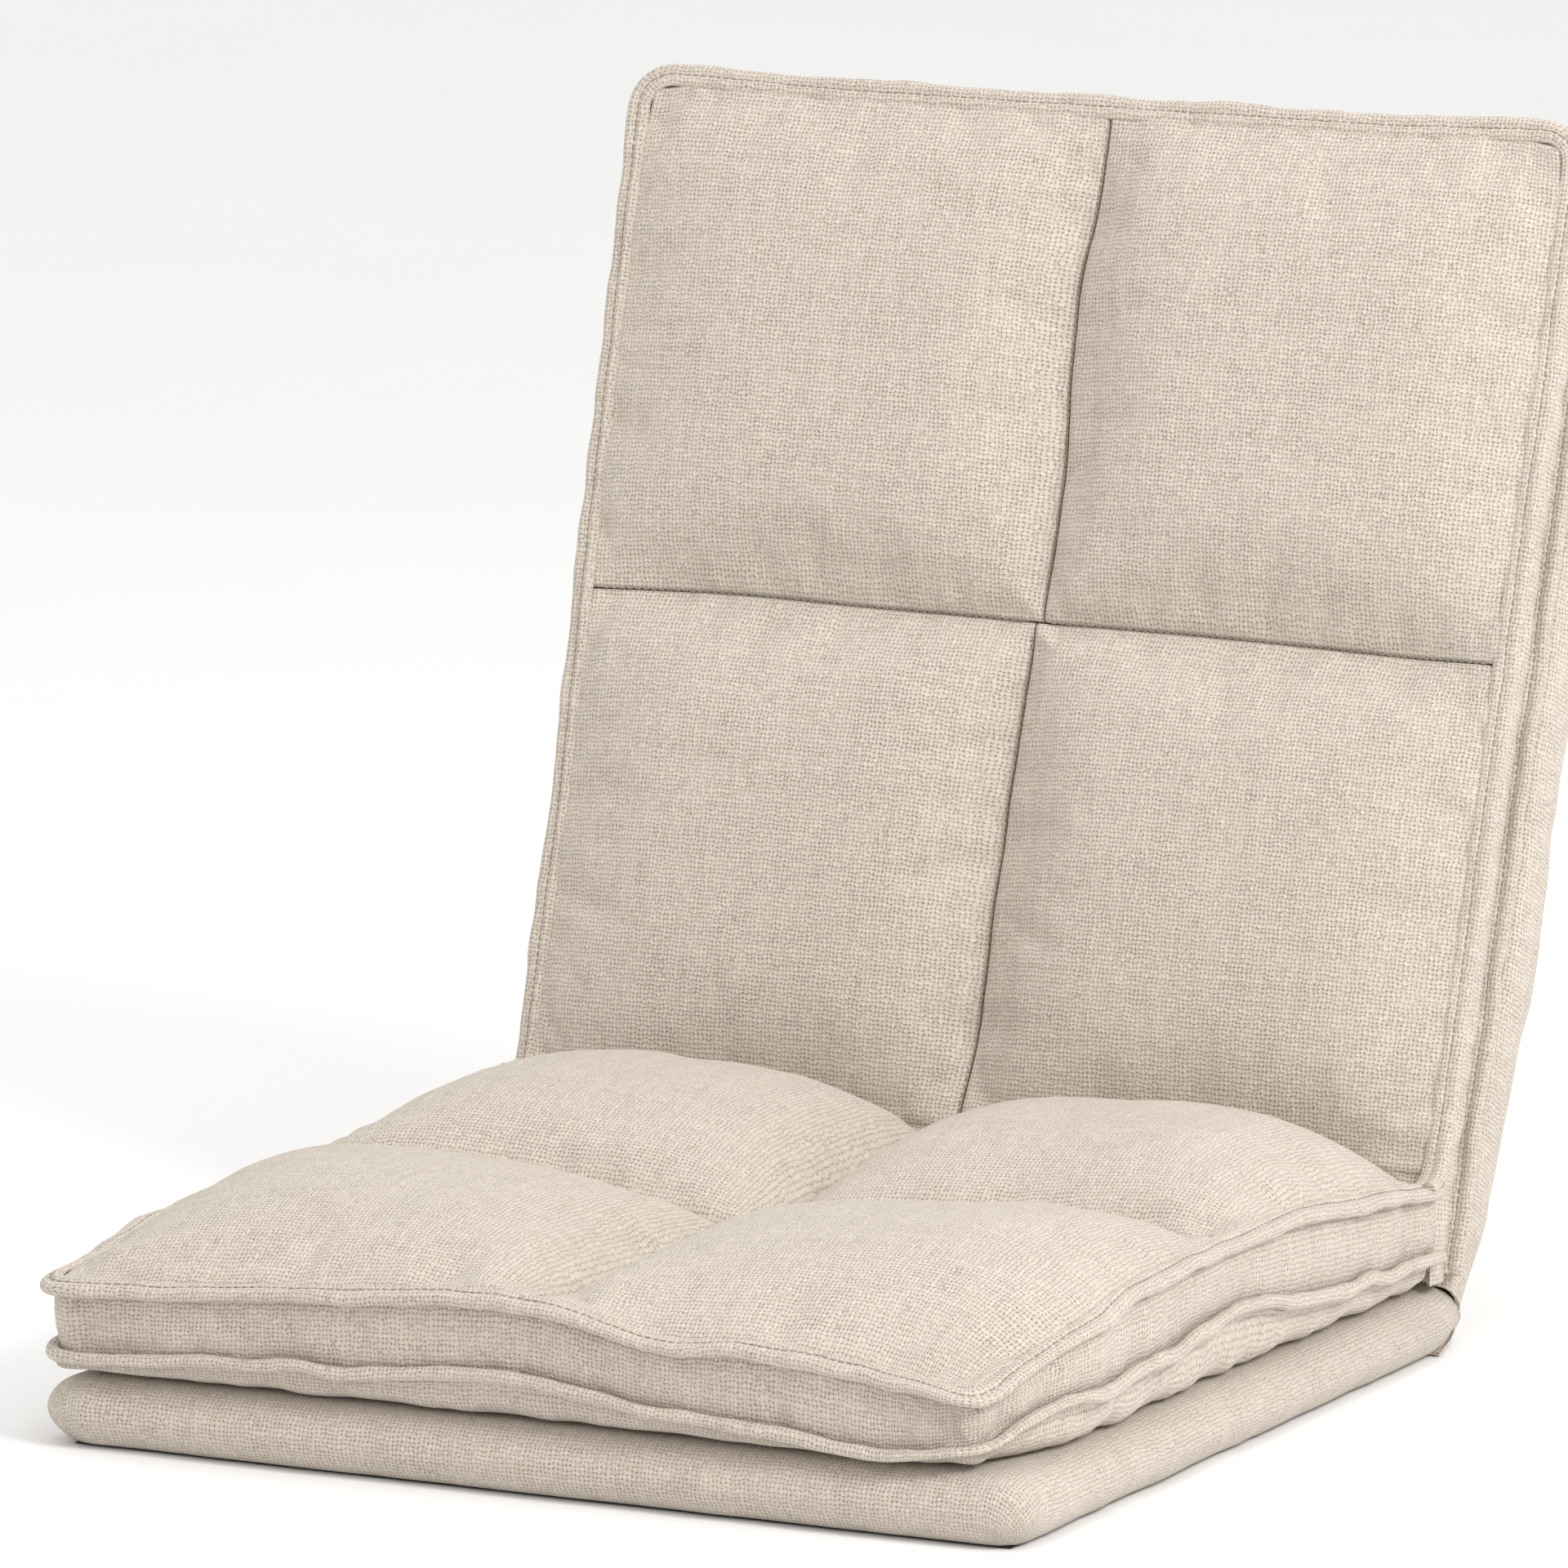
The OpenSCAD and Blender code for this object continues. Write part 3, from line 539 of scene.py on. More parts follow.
def seat_band():
    plan = swollen(seat_path, 1.4 * MM)
    z = LOW_SEAM + (SEAT_TOP - LOW_SEAM) * BAND_ROWS
    return seat_point(plan, np.broadcast_to(z, plan.shape[:2]))


def back_band():
    """Below the crease the band's front edge tucks in behind the seat."""
    b = back_path.points[:, 1]
    tuck = (7 * MM - np.minimum(b, 0) * SIN) / COS
    front = (tuck * (1 - smooth_step((b + 9 * MM) / (13 * MM))))[:, None]
    depth = front + (BACK_DEPTH - front) * BAND_ROWS
    plan = swollen(back_path, 1.6 * MM)
    plan[..., 1] += (depth - BACK_DEPTH) * SIN / COS * fade(b + BAND_FOOT, 45 * MM)[:, None]
    return back_point(plan, -depth)


bands = {}               # node -> seam path, world function, outward directions, whether it is flipped
for node, path, world, grid in (
        ("seat_gusset", seat_path, seat_world, seat_band()),
        ("back_gusset", back_path, back_shaped, back_band())):
    plan_normals = path.normals * [1, -1 if world is seat_world else 1]
    side = np.concatenate([plan_normals, np.zeros((len(path.s), 1))], -1)
    flip = (grid_normals(grid) * side[:, None]).sum(-1).mean() < 0
    bands[node] = path, world, side, flip
    drape(node, grid[:, ::-1] if flip else grid, 2.2, 0.022, stiffness=10, bending=0.25)

settled = run_cloth()

# ---- Upholstered pieces from the settled cloth ----

pieces = {}          # piece name -> (object, body or bodies, slot, nodes it replaces, fill or None)


def keep(obj, body, slot, *nodes, fill=None):
    pieces[obj.name] = (obj, body, slot, nodes, fill)


def keep_cloth(name, grid, uvs, outward, body, *nodes, fill, thickness=CLOTH_T):
    """A padded piece of the upholstery cloth."""
    keep(cloth_piece(name, grid, uvs, outward, thickness), body, "upholstery_cloth", *nodes, fill=fill)


def quarter_grid(q, world, limit, seed):
    """Settled quarter, capped, kept on its own side of the cross seams and carried to its section.
    Returns its face, the face with its seam allowance and the cut-pattern coordinates."""
    gx, ga, gh = np.moveaxis(settled[q.name], -1, 0)
    x0, x1, a0, a1 = q.span
    x = np.maximum(gx, x0 + SEAM_GAP) if q.sx > 0 else np.minimum(gx, x1 - SEAM_GAP)
    a = np.maximum(ga, a0 + SEAM_GAP) if q.sa > 0 else np.minimum(ga, a1 - SEAM_GAP)
    h = soft_cap(gh - q.base, limit)
    lumps = ripple(gx * 1.3 + ga * 0.7, seed, 0.12, 0.05, 4)
    lumps = lumps * ripple(ga * 1.2 - gx * 0.6, seed + 1, 0.14, 0.06, 4)
    h = h + 0.6 * MM * lumps * ramp(h, 8 * MM)
    gaps = ((gx - x0, a), (x1 - gx, a), (ga - a0, x), (a1 - ga, x))
    for k, (gap, along) in enumerate(gaps):
        ridge = ripple(along + 0.25 * gap, seed + 20 + k, 0.075, 0.014, 6)
        h = h + 1.1 * MM * ridge * ramp(gap, 4 * MM) * fade(gap, 34 * MM)
    inner = np.minimum(gaps[0 if q.sx > 0 else 1][0], gaps[2 if q.sa > 0 else 3][0])
    h = h - 2.6 * MM * fade(inner, 26 * MM) * ramp(inner, 2.5 * MM) * ramp(h, 6 * MM)
    if (world is back_shaped) == (q.sa > 0):      # it has one of the section's rounded corners
        from_corner = np.hypot(gx - (x1 if q.sx > 0 else x0), ga - (a1 if q.sa > 0 else a0))
        pull = 0.29 * CORNER_R * fade(from_corner, 2.5 * CORNER_R)
        x, a = x - q.sx * pull, a - q.sa * pull
    grid = np.stack([x, a, q.base + h], -1)
    skirted, flat = with_skirt(grid, q.flat, SKIRT)
    return world(grid), world(skirted), flat


def section_up(world):
    """World direction of 'outward' in a section."""
    low, high = world(np.array([[0, 0.1, 0.3], [0, 0.1, 0.4]]))
    return unit(high - low)


WADDING_T = 4.5 * MM
for k, (name, q) in enumerate(quarters.items()):
    on_seat = name.startswith("seat")
    world, body = (seat_world, "seat_section") if on_seat else (back_shaped, "shell")
    bare, skirted, flat = quarter_grid(q, world, (60 if on_seat else 21) * MM, 11 + 3 * k)
    uv = flat + [0.37 * q.sx + 0.11 * q.sa, 0.23 * q.sa - 0.19 * q.sx]
    keep_cloth("cloth_" + name, skirted, uv, section_up(world), body, name, fill=0.75 if on_seat else 0.55)
    inner = (bare - grid_normals(bare) * (CLOTH_T + 0.3 * MM))[2:-2:2, 2:-2:2]
    q.wadding = cloth_piece("wad_" + name, inner, q.flat[2:-2:2, 2:-2:2], section_up(world), WADDING_T)

for section, body in (("seat", "seat_section"), ("back", "shell")):
    node = section + "_wadding"
    parts = [q.wadding for name, q in quarters.items() if name.startswith(section)]
    keep(join("fill_" + node, parts), body, "wadding", node, fill=0.4)

for node, (path, world, side, flip) in bands.items():
    name, body, seed, depth = (
        ("cloth_seat_band", "seat_section", 151, 1.0 * MM) if world is seat_world
        else ("cloth_back_band", "shell", 157, 0.5 * MM))
    grid = settled[node][:, ::-1] if flip else settled[node]
    origin = np.array([[0, 0.1, 0.05]])
    outward = world(origin + side * 0.01)[:, None] - world(origin)
    uv = strip_uv(path.s, arc_lengths(np.moveaxis(grid, 1, 0))[:, 0])
    w = np.linspace(0, 1, grid.shape[1])[None]
    corners = path.s[-1] / 2 + np.array([-1, 1]) * path.points[:, 0].max()
    near = sum(fade(path.s - c, 110 * MM) for c in corners)[:, None]
    folds = ripple(path.s[:, None] + 6 * MM * w, seed, 0.06, 0.011, 8)
    swell = depth * folds * np.sin(math.pi * w) ** 0.7 * (0.55 + 0.75 * near)
    keep_cloth(name, world(grid + side[:, None] * swell[..., None]), uv, outward, body, node, fill=0.5)

# ---- Flanged seams with their topstitching ----

# Section of a flange: (out from the band's face, above the seam), in mm, with a sewn groove.
FLANGE_PROFILE = np.array([
    (-3.0, 0.8), (-0.6, 1.3), (0.9, 2.3), (1.9, 1.15), (2.9, 2.3), (4.2, 3.15), (5.7, 2.95), (6.8, 1.8),
    (7.1, 0.0), (6.8, -1.8), (5.7, -2.95), (4.2, -3.15), (2.9, -2.3), (1.9, -1.15), (0.9, -2.3),
    (-0.6, -1.3), (-3.0, -0.8)]) * MM
PUFF_OUT = 1.3       # the soft roll stands out further than the flat seam under it
FLANGE_PROFILE[:, 0] *= FLANGE_W / (7 * MM) * np.where(FLANGE_PROFILE[:, 0] > 0, PUFF_OUT, 1)
FLANGE_ROUND = arc_lengths(np.concatenate([FLANGE_PROFILE, FLANGE_PROFILE[:1]]))
GROOVE_OUT, GROOVE_UP = 2.5 * MM, 1.6 * MM
STITCH_LEN, STITCH_STEP, THREAD_R = 3.0 * MM, 3.9 * MM, 0.36 * MM


class Flange:
    """A flanged seam along a path at a height in its section, tilted by about tilt radians."""

    def __init__(self, path, height, to_section, world, seed, tilt):
        self.path, self.height, self.seed, self.tilt = path, height, seed, tilt
        self.to_section, self.world = to_section, world

    def place(self, s, out, up):
        """World points at s along the seam, out from the band and up from the seam."""
        point, normal = self.path.at(s)
        lift = 0.5 * MM * ripple(s, self.seed + 1, 0.12, 0.03)
        width = 1 + 0.07 * ripple(s, self.seed + 2, 0.10, 0.02)
        outer = np.maximum(out, 0) * width + np.minimum(out, 0)
        reach = ramp(outer + 1 * MM, 3 * MM)
        tilt = (self.tilt + 0.16 * ripple(s, self.seed, 0.17, 0.04)) * reach
        swung = outer * np.cos(tilt) - up * np.sin(tilt)
        raised = outer * np.sin(tilt) + up * np.cos(tilt) + lift * reach
        return self.world(self.to_section(point + normal * swung[..., None], self.height + raised))

    def roll(self, name):
        s = np.linspace(0, self.path.s[-1], round(self.path.s[-1] / (3.6 * MM)))
        ss = np.repeat(s[:, None], len(FLANGE_PROFILE), 1)
        out, up = FLANGE_PROFILE.T
        puff = 1 + 0.10 * ripple(ss + 0.3 * out, self.seed + 3, 0.05, 0.01)
        sections = self.place(ss, np.broadcast_to(out, ss.shape), up * puff)
        return swept_piece(name, sections, strip_uv(s, FLANGE_ROUND))

    def stitches(self, name):
        made = []
        for k, side in enumerate((1, -1)):
            start = np.arange(3 * MM, self.path.s[-1] - 5 * MM, STITCH_STEP)
            rng = np.random.default_rng(self.seed + 40 + k)
            start = start + rng.normal(0, 0.12 * MM, len(start))
            end = start + STITCH_LEN * rng.uniform(0.93, 1.03, len(start))
            out = GROOVE_OUT + rng.normal(0, 0.07 * MM, len(start))
            up = side * GROOVE_UP + 0 * start
            a, b = self.place(start, out, up), self.place(end, out, up)
            lift = self.place(start, out, up * 2) - a
            made.append(capsules(name + str(k), a, b, THREAD_R, lift, bow=0.15 * MM))
        return join(name, made)


front_flange_path = Path(PAD_X, BACK_TOP, CORNER_R, 0.5 * MM)
rear_flange_path = Path(PAD_X, BACK_TOP, CORNER_R, -38 * MM)
flanges = {
    "seat_top_flange": Flange(seat_path, SEAT_TOP, seat_point, seat_world, 101, -0.55),
    "seat_base_flange": Flange(seat_path, LOW_SEAM, seat_point, seat_world, 211, 0.45),
    "back_front_flange": Flange(front_flange_path, 0.0, back_point, back_shaped, 307, -0.40),
    "back_rear_flange": Flange(rear_flange_path, -BACK_DEPTH + 2 * MM, back_point, back_shaped, 401, -0.25),
}
for name, flange in flanges.items():
    body = "seat_section" if name.startswith("seat") else "shell"
    keep(flange.roll("cloth_" + name), body, "upholstery_cloth", name)
for section, body in (("seat", "seat_section"), ("back", "shell")):
    threads = [f.stitches("thread_" + name) for name, f in flanges.items() if name.startswith(section)]
    keep(join(f"thread_{section}_topstitch", threads), body, "thread", section + "_topstitch")


def cross_stitches(section, world, body):
    """Stitches sunk in the valleys between the four quarters."""
    made = []
    for name, q in quarters.items():
        if name.startswith(section):
            across = [settled[name][:, -1]] if q.sa < 0 else []
            upright = [settled[name][-1]] if q.sx < 0 else []
            for line in across + upright:
                s = arc_lengths(line)
                start = np.arange(8 * MM, s[-1] - 8 * MM, STITCH_STEP)
                a, b = world(read_line(start, s, line)), world(read_line(start + STITCH_LEN, s, line))
                lift = np.broadcast_to(section_up(world), a.shape)
                made.append(capsules(f"valley_{len(made)}", a, b, THREAD_R, lift))
    keep(join(f"thread_{section}_cross", made), body, "thread", section + "_cross_stitch")


cross_stitches("seat", seat_world, "seat_section")
cross_stitches("back", back_shaped, "shell")

# ---- Underside of the seat section, rear of the back section, and the tail between them ----

def lined_grid(x0, x1, a0, a1, nx, na, sharp=0.6):
    x, a = x0 + (x1 - x0) * graded(nx, sharp), a0 + (a1 - a0) * graded(na, sharp)
    return np.meshgrid(x, a, indexing="ij")


def swept_line(xs, line, y, z):
    """Grid and cut-pattern coordinates of a line of (y, z) points swept along x. y and z are
    where the line starts from, each a number or a value for every x."""
    grid = np.zeros((len(xs), len(line), 3))
    grid[..., 0] = xs[:, None]
    grid[..., 1] = line[:, 0] + np.reshape(y, (-1, 1))
    grid[..., 2] = line[:, 1] + np.reshape(z, (-1, 1))
    return grid, strip_uv(xs, arc_lengths(line))


BELLY_REAR = SEAT_REAR + 7.5 * MM
BELLY_REACH = 15 * MM        # how far in from the lower seam the belly reaches its full depth


def belly_depth(gap):
    return (LOW_SEAM - SEAT_BASE) * np.sqrt(1 - (1 - ramp(gap, BELLY_REACH)) ** 2.4)


gx, gy = lined_grid(-PAD_X, PAD_X, SEAT_FRONT, BELLY_REAR, 84, 78)
from_side, from_front, from_rear = PAD_X - np.abs(gx), gy - SEAT_FRONT, BELLY_REAR - gy
gap = np.minimum(np.minimum(from_side, from_front), 2 * from_rear)
pucker = ripple(np.where(from_side < from_front, gy, gx), 61, 0.07, 0.012)
pucker = 1.3 * MM * pucker * ramp(gap, 5 * MM) * fade(gap, 24 * MM)
gz = np.maximum(LOW_SEAM - belly_depth(gap) + pucker, SEAT_BASE)
belly = seat_world(np.stack([gx, gy, gz], -1))
bulge = 2.5 * MM * np.sin(math.pi * belly_depth(gap) / (LOW_SEAM - SEAT_BASE)) * (gap < BELLY_REACH)
belly[..., 0] += np.sign(gx) * bulge * fade(from_side, BELLY_REACH)
belly[..., 1] -= bulge * fade(from_front, BELLY_REACH)
reach = np.linspace(0, BELLY_REACH, 200)
run = arc_lengths(np.stack([reach, belly_depth(reach)], -1))
spare = run[-1] - run - (BELLY_REACH - reach)      # how much longer the cloth is than its plan
belly_u = gx + np.sign(gx) * np.interp(from_side, reach, spare)
belly_v = gy - np.interp(from_front, reach, spare) + np.interp(from_rear, reach, spare)
keep_cloth("cloth_seat_base", belly, np.stack([belly_u, belly_v], -1) + 0.5, np.array([0, 0, -1.0]),
           "seat_section", "seat_base_panel", fill=0.5)

gx, ga = lined_grid(-PAD_X + 1 * MM, PAD_X - 1 * MM, -37 * MM, BACK_TOP - 1 * MM, 60, 64)
rear_face = back_world(np.stack([gx, ga, -BACK_DEPTH + 0.25 * MM * ripple(gx + ga, 71)], -1))
keep_cloth("cloth_back_base", rear_face, np.stack([gx, ga], -1), -section_up(back_world), "shell",
           "back_base_panel", fill=0.4, thickness=1.2 * MM)

# The tail runs down from the crease behind the seat section and turns under on the deck.
tail_line = np.array([
    (1.3, -1.0), (3.2, -5.0), (6.6, -11.0), (7.2, -20.0), (7.0, -30.0), (7.4, -40.0), (9.0, -46.5),
    (13.0, -49.0), (22.0, -49.3), (31.0, -49.0)]) * MM
tx = np.linspace(-PAD_X + 0.6 * MM, PAD_X - 0.6 * MM, 96)
tail, uv = swept_line(tx, tail_line, CREASE_Y + 0.5 * MM * ripple(tx, 77, 0.08, 0.02), CREASE_Z)
keep_cloth("cloth_back_tail", tail, uv, np.array([0, -1.0, -0.3]), "shell", fill=0.4)

# Rear band of the seat section: cloth above, below and beside the zip's slot. The cloth below it
# slopes back to the belly's edge.
zip_lo, zip_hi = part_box("zip_tape")
ZIP_X, ZIP_Z = zip_hi.x - 6 * MM, (zip_lo.z + zip_hi.z) / 2
SLOT_LOW, SLOT_TOP = ZIP_Z - 4 * MM, ZIP_Z + 4 * MM
strips = []
for k, (x0, x1, z0, z1) in enumerate((
        (-PAD_X, PAD_X, SLOT_TOP, SEAT_TOP), (-PAD_X, PAD_X, LOW_SEAM, SLOT_LOW),
        (-PAD_X, -ZIP_X, SLOT_LOW, SLOT_TOP), (ZIP_X, PAD_X, SLOT_LOW, SLOT_TOP))):
    across = np.linspace(x0, x1, max(4, round((x1 - x0) / (5 * MM))))
    bx, bz = np.meshgrid(across, np.linspace(z0, z1, 6), indexing="ij")
    by = SEAT_REAR - 0.3 * MM * (1 + ripple(bx + bz, 83, 0.06, 0.02)) / 2
    by += (BELLY_REAR - SEAT_REAR) * ramp(SLOT_LOW - bz, SLOT_LOW - LOW_SEAM) ** 2
    strip = seat_world(np.stack([bx, by, bz], -1))
    strips.append(cloth_piece(f"rear_{k}", strip, np.stack([bx, bz], -1), np.array([0, 1.0, 0])))
keep(join("cloth_seat_rear_band", strips), "seat_section", "upholstery_cloth", fill=0.5)

# Sewn fold along the crease.
fold_line = np.array([
    (1.6, 4.2), (0.8, 1.6), (0.5, -0.5), (-0.2, -0.9), (-1.2, 0.3), (-2.6, 1.2), (-4.6, 0.9)]) * MM
fx = np.linspace(-PAD_X + 1 * MM, PAD_X - 1 * MM, 110)
fold, uv = swept_line(fx, fold_line, CREASE_Y, CREASE_Z + 0.4 * MM * ripple(fx, 91, 0.05, 0.012))
crease = cloth_piece("cloth_crease_fold", fold, uv, np.array([0, -0.6, 1.0]), 1.0 * MM)
keep(crease, ("shell", "seat_section"), "upholstery_cloth", "crease_seam")

# The flange runs on round the crease at both ends, from the seat's to the back's.
turn = np.linspace(0, 1, 15)
bridge_y = -11 * MM * (1 - turn) ** 2 + 4.2 * MM * turn**2
bridge_z = 0.4 * MM * (1 - turn) ** 2 + 13.5 * MM * turn**2
bridge_line = np.stack([bridge_y, bridge_z], -1)
tangent = unit(np.gradient(bridge_line, axis=0))
out, up = FLANGE_PROFILE.T
bridges = []
for side in (-1, 1):
    sections = np.zeros((len(turn), len(FLANGE_PROFILE), 3))
    sections[..., 0] = side * (PAD_X + out)
    sections[..., 1] = CREASE_Y + bridge_line[:, :1] - tangent[:, 1:] * up
    sections[..., 2] = CREASE_Z + bridge_line[:, 1:] + tangent[:, :1] * up
    bridges.append(swept_piece(f"bridge_{side}", sections, strip_uv(arc_lengths(bridge_line), FLANGE_ROUND)))
keep(join("cloth_crease_bridges", bridges), ("shell", "seat_section"), "upholstery_cloth")

# ---- Deck and back shell covers ----

def rolled_cover(profile, flat_inset, half_width, length, radius, foot_of, seed, sag):
    """Rings of a cover that rolls over an edge. profile is (inset, height) in mm, from the
    turned-under edge round to the flat face. Returns plan points, heights and cut-pattern
    coordinates, which are the plan's own on the flat face."""
    profile, flat_inset = np.asarray(profile) * MM, flat_inset * MM
    arcs = arc_lengths(profile)
    late = np.arange(len(profile)) >= len(profile) // 3      # past the turned-under edge
    start = arcs[late][np.argmin(np.abs(profile[late, 0] - flat_inset))]
    base, base_normals = ring(half_width - flat_inset, length - flat_inset, radius - flat_inset, foot_of(0))
    s = arc_lengths(ring(half_width, length, radius, 0)[0])
    wave = sag * ripple(s, seed, 0.13, 0.03) + 0.4 * sag * ripple(s, seed + 5, 0.03, 0.012)
    plans, uvs = [], []
    for (inset, height), arc in zip(profile, arcs):
        points, normals = ring(half_width - inset, length - inset, radius - inset, foot_of(height))
        edge = math.exp(-((inset / (9 * MM)) ** 2))
        points = points - normals * ((sag + wave) * 0.5 * edge)[:, None]
        plans.append(points)
        uvs.append(points if arc >= start else base + base_normals * (start - arc))
    return np.stack(plans, 1), profile[:, 1], np.stack(uvs, 1)


HEEL_REACH, HEEL_RISE, HEEL = 50 * MM, 70 * MM, 10 * MM


def heel_rounded(points):
    """The rear lower corners of the deck and shell are drawn in."""
    x, y, z = np.moveaxis(points, -1, 0)
    near = smooth_step(1 - (MITRE_Y - y) / HEEL_REACH) * fade(z, HEEL_RISE)
    return np.stack([x - HEEL * near * np.sign(x) * ramp(np.abs(x), DECK_X) ** 6, y, z], -1)


DECK_PROFILE = [
    (45, 0.9), (28, 0.9), (14, 0.9), (9, 1.0), (6.2, 1.6), (3.4, 3.6), (0.2, 7), (-2.4, 11.5), (-3, 16),
    (-2.2, 20.5), (0, 24.6), (3.6, 28.2), (9, 30.8), (16, 31.9), (24, 32), (50, 32), (85, 32), (120, 32),
    (160, 32), (200, 32), (228, 32), (239.85, 32)]


def deck_foot(height):
    """How far short of the rear-most point the deck ends at a height: it is cut along the mitre."""
    if height >= MITRE_Z:
        return (MITRE_Y - mitre_in_y) * (height - MITRE_Z) / (DECK_TOP - MITRE_Z)
    return (MITRE_Z - height) * 7 / 9


plan, heights, uv = rolled_cover(
    DECK_PROFILE, 16, DECK_X, MITRE_Y - DECK_FRONT, 20 * MM, deck_foot, 501, 1.6 * MM)
deck = np.stack([plan[..., 0], MITRE_Y - plan[..., 1], np.broadcast_to(heights, plan.shape[:2])], -1)
SIDE_ROW, SHOULDER = 7, slice(8, 13)      # rows of the profile: the side, and the rows over its top edge
lift = 0.5 * MM * ripple(arc_lengths(plan[:, SIDE_ROW]), 509, 0.1, 0.02)
deck[:, SHOULDER, 2] += lift[:, None] * [0.3, 0.6, 1, 0.8, 0.4]
fuller = 4 * MM * fade(deck[..., 2] - DECK_TOP / 2, DECK_TOP * 0.7) * ramp(-deck[..., 0], DECK_X) ** 8
deck[..., 0] -= fuller * (1 - fade(MITRE_Y - deck[..., 1], 90 * MM))
deck = heel_rounded(deck)
cover = cloth_piece("cloth_deck", deck, uv, deck - deck.reshape(-1, 3).mean(0))

rx = np.linspace(-DECK_X + 2 * MM, DECK_X - 2 * MM, 90)
rear_line = np.array([
    (-40, 0.9), (-22, 0.9), (-9, 1.1), (-4, 3.2), (-1.2, 6.4), (-0.4, 9), (-3.2, 10.6)]) * MM
rear, uv = swept_line(rx, rear_line, MITRE_Y - 0.3 * MM * (1 + ripple(rx, 517, 0.09, 0.02)), 0)
rear_cover = cloth_piece("cloth_deck_rear", heel_rounded(rear), uv, np.array([0, 1.0, -1.0]))
keep(join("cloth_deck_cover", [cover, rear_cover]), "shell", "upholstery_cloth", "deck_cover", fill=0.6)

foot_in = back_coords(np.array([0, mitre_in_y, DECK_TOP + 0.1 * MM]))[1]
foot_out = back_coords(np.array([0, MITRE_Y, MITRE_Z + 0.4 * MM]))[1]


def shell_foot(depth):
    return foot_in + (foot_out - foot_in) * (depth - SHELL_N) / (REAR_N - SHELL_N)


def shell_world(points):
    """The shell is fuller than its boards at the sides, except near its foot and its top."""
    x, up, out = np.moveaxis(points, -1, 0)
    full = smooth_step(up / (110 * MM)) * (0.35 + 0.65 * smooth_step((BACK_TOP - up) / (150 * MM)))
    full = full * ramp(np.abs(x), SHELL_X) ** 8
    x = x + 4.5 * MM * full * np.sign(x) * np.where(x < 0, 0.3, 1)
    return heel_rounded(back_world(np.stack([x, up, out - 5 * MM * full * smooth_step(-out / REAR_N)], -1)))


n0, n1 = SHELL_N / MM, REAR_N / MM
SHELL_PROFILE = [
    (13, n1 - 3.0), (12.4, n1 - 0.9), (9, n1 - 0.4), (5.6, n1 - 1.0), (2.2, n1 - 2.9), (-0.4, n1 - 6.5),
    (-2.2, n0 + 26), (-2.8, n0 + 19), (-2.2, n0 + 12), (-0.6, n0 + 6), (2.0, n0 + 2.6), (6, n0 + 0.9),
    (12, n0 + 0.3), (24, n0 + 0.2), (60, n0 + 0.2), (120, n0 + 0.2), (180, n0 + 0.2), (239.8, n0 + 0.2)]
plan, depths, uv = rolled_cover(
    SHELL_PROFILE, 12, SHELL_X, SHELL_LEN, 12 * MM, shell_foot, 601, 1.4 * MM)
shell = shell_world(np.concatenate([plan, -np.broadcast_to(depths, plan.shape[:2])[..., None]], -1))
keep_cloth("cloth_back_shell", shell, uv, shell - shell.reshape(-1, 3).mean(0), "shell", "back_shell_cover",
           fill=0.6)

PANEL_EDGE = 12.9 * MM
px, pa = lined_grid(-SHELL_X + PANEL_EDGE, SHELL_X - PANEL_EDGE, foot_out + 1 * MM, SHELL_LEN - PANEL_EDGE,
                    76, 84, 0.8)
gap = np.minimum(np.minimum(px - px.min(), px.max() - px), np.minimum(pa - pa.min(), pa.max() - pa))
roll = 3.0 * MM * (1 - (1 - ramp(gap, 5 * MM)) ** 2.4)
puff = 1.2 * MM * ramp(gap, 60 * MM) ** 0.6
slack = 0.5 * MM * ripple(px + 0.3 * pa, 611, 0.2, 0.05, 4) * ripple(pa, 613, 0.3, 0.06, 4)
depth = REAR_N - 3.2 * MM + roll + puff + slack * ramp(gap, 30 * MM)
panel = shell_world(np.stack([px, pa, -depth], -1))
keep_cloth("cloth_rear_panel", panel, np.stack([px, pa], -1) + 0.3, -section_up(back_world), "shell",
           "back_rear_panel", fill=0.3)

# ---- Foam blocks ----

def foam_block(name, x, a0, a1, h0, h1, world, body, node, roll=6 * MM):
    """Block of foam with rolled edges, cut to follow its section's waves."""
    turn = np.linspace(0, math.pi / 2, 5)
    inset, rise = roll * (1 - np.sin(turn)), roll * (1 - np.cos(turn))
    inward = x * np.array([0.96, 0.8, 0.64, 0.48, 0.32, 0.16, 0.08])
    rows = [(i, h1) for i in inward] + [(i, h1 - r) for i, r in zip(inset, rise)]
    rows += [(i, h0 + r) for i, r in zip(inset[::-1], rise[::-1])] + [(i, h0) for i in inward[::-1]]
    rings = []
    for depth_in, height in rows:
        length = a1 - a0 - min(depth_in, (a1 - a0) * 0.96)
        points, _ = ring(x - min(depth_in, x * 0.96), length, roll, 0, (20, 5, 24))
        rings.append(np.stack([points[:, 0], a0 + points[:, 1], np.full(len(points), height)], -1))
    sections = np.stack(rings, 1)
    if world is seat_world:
        sections[..., 1] = a0 + a1 - sections[..., 1]
    no_uv = np.zeros((sections.shape[0], sections.shape[1] + 1, 2))
    keep(swept_piece(name, world(sections), no_uv, levels=0), body, "foam", node, fill=0.9)


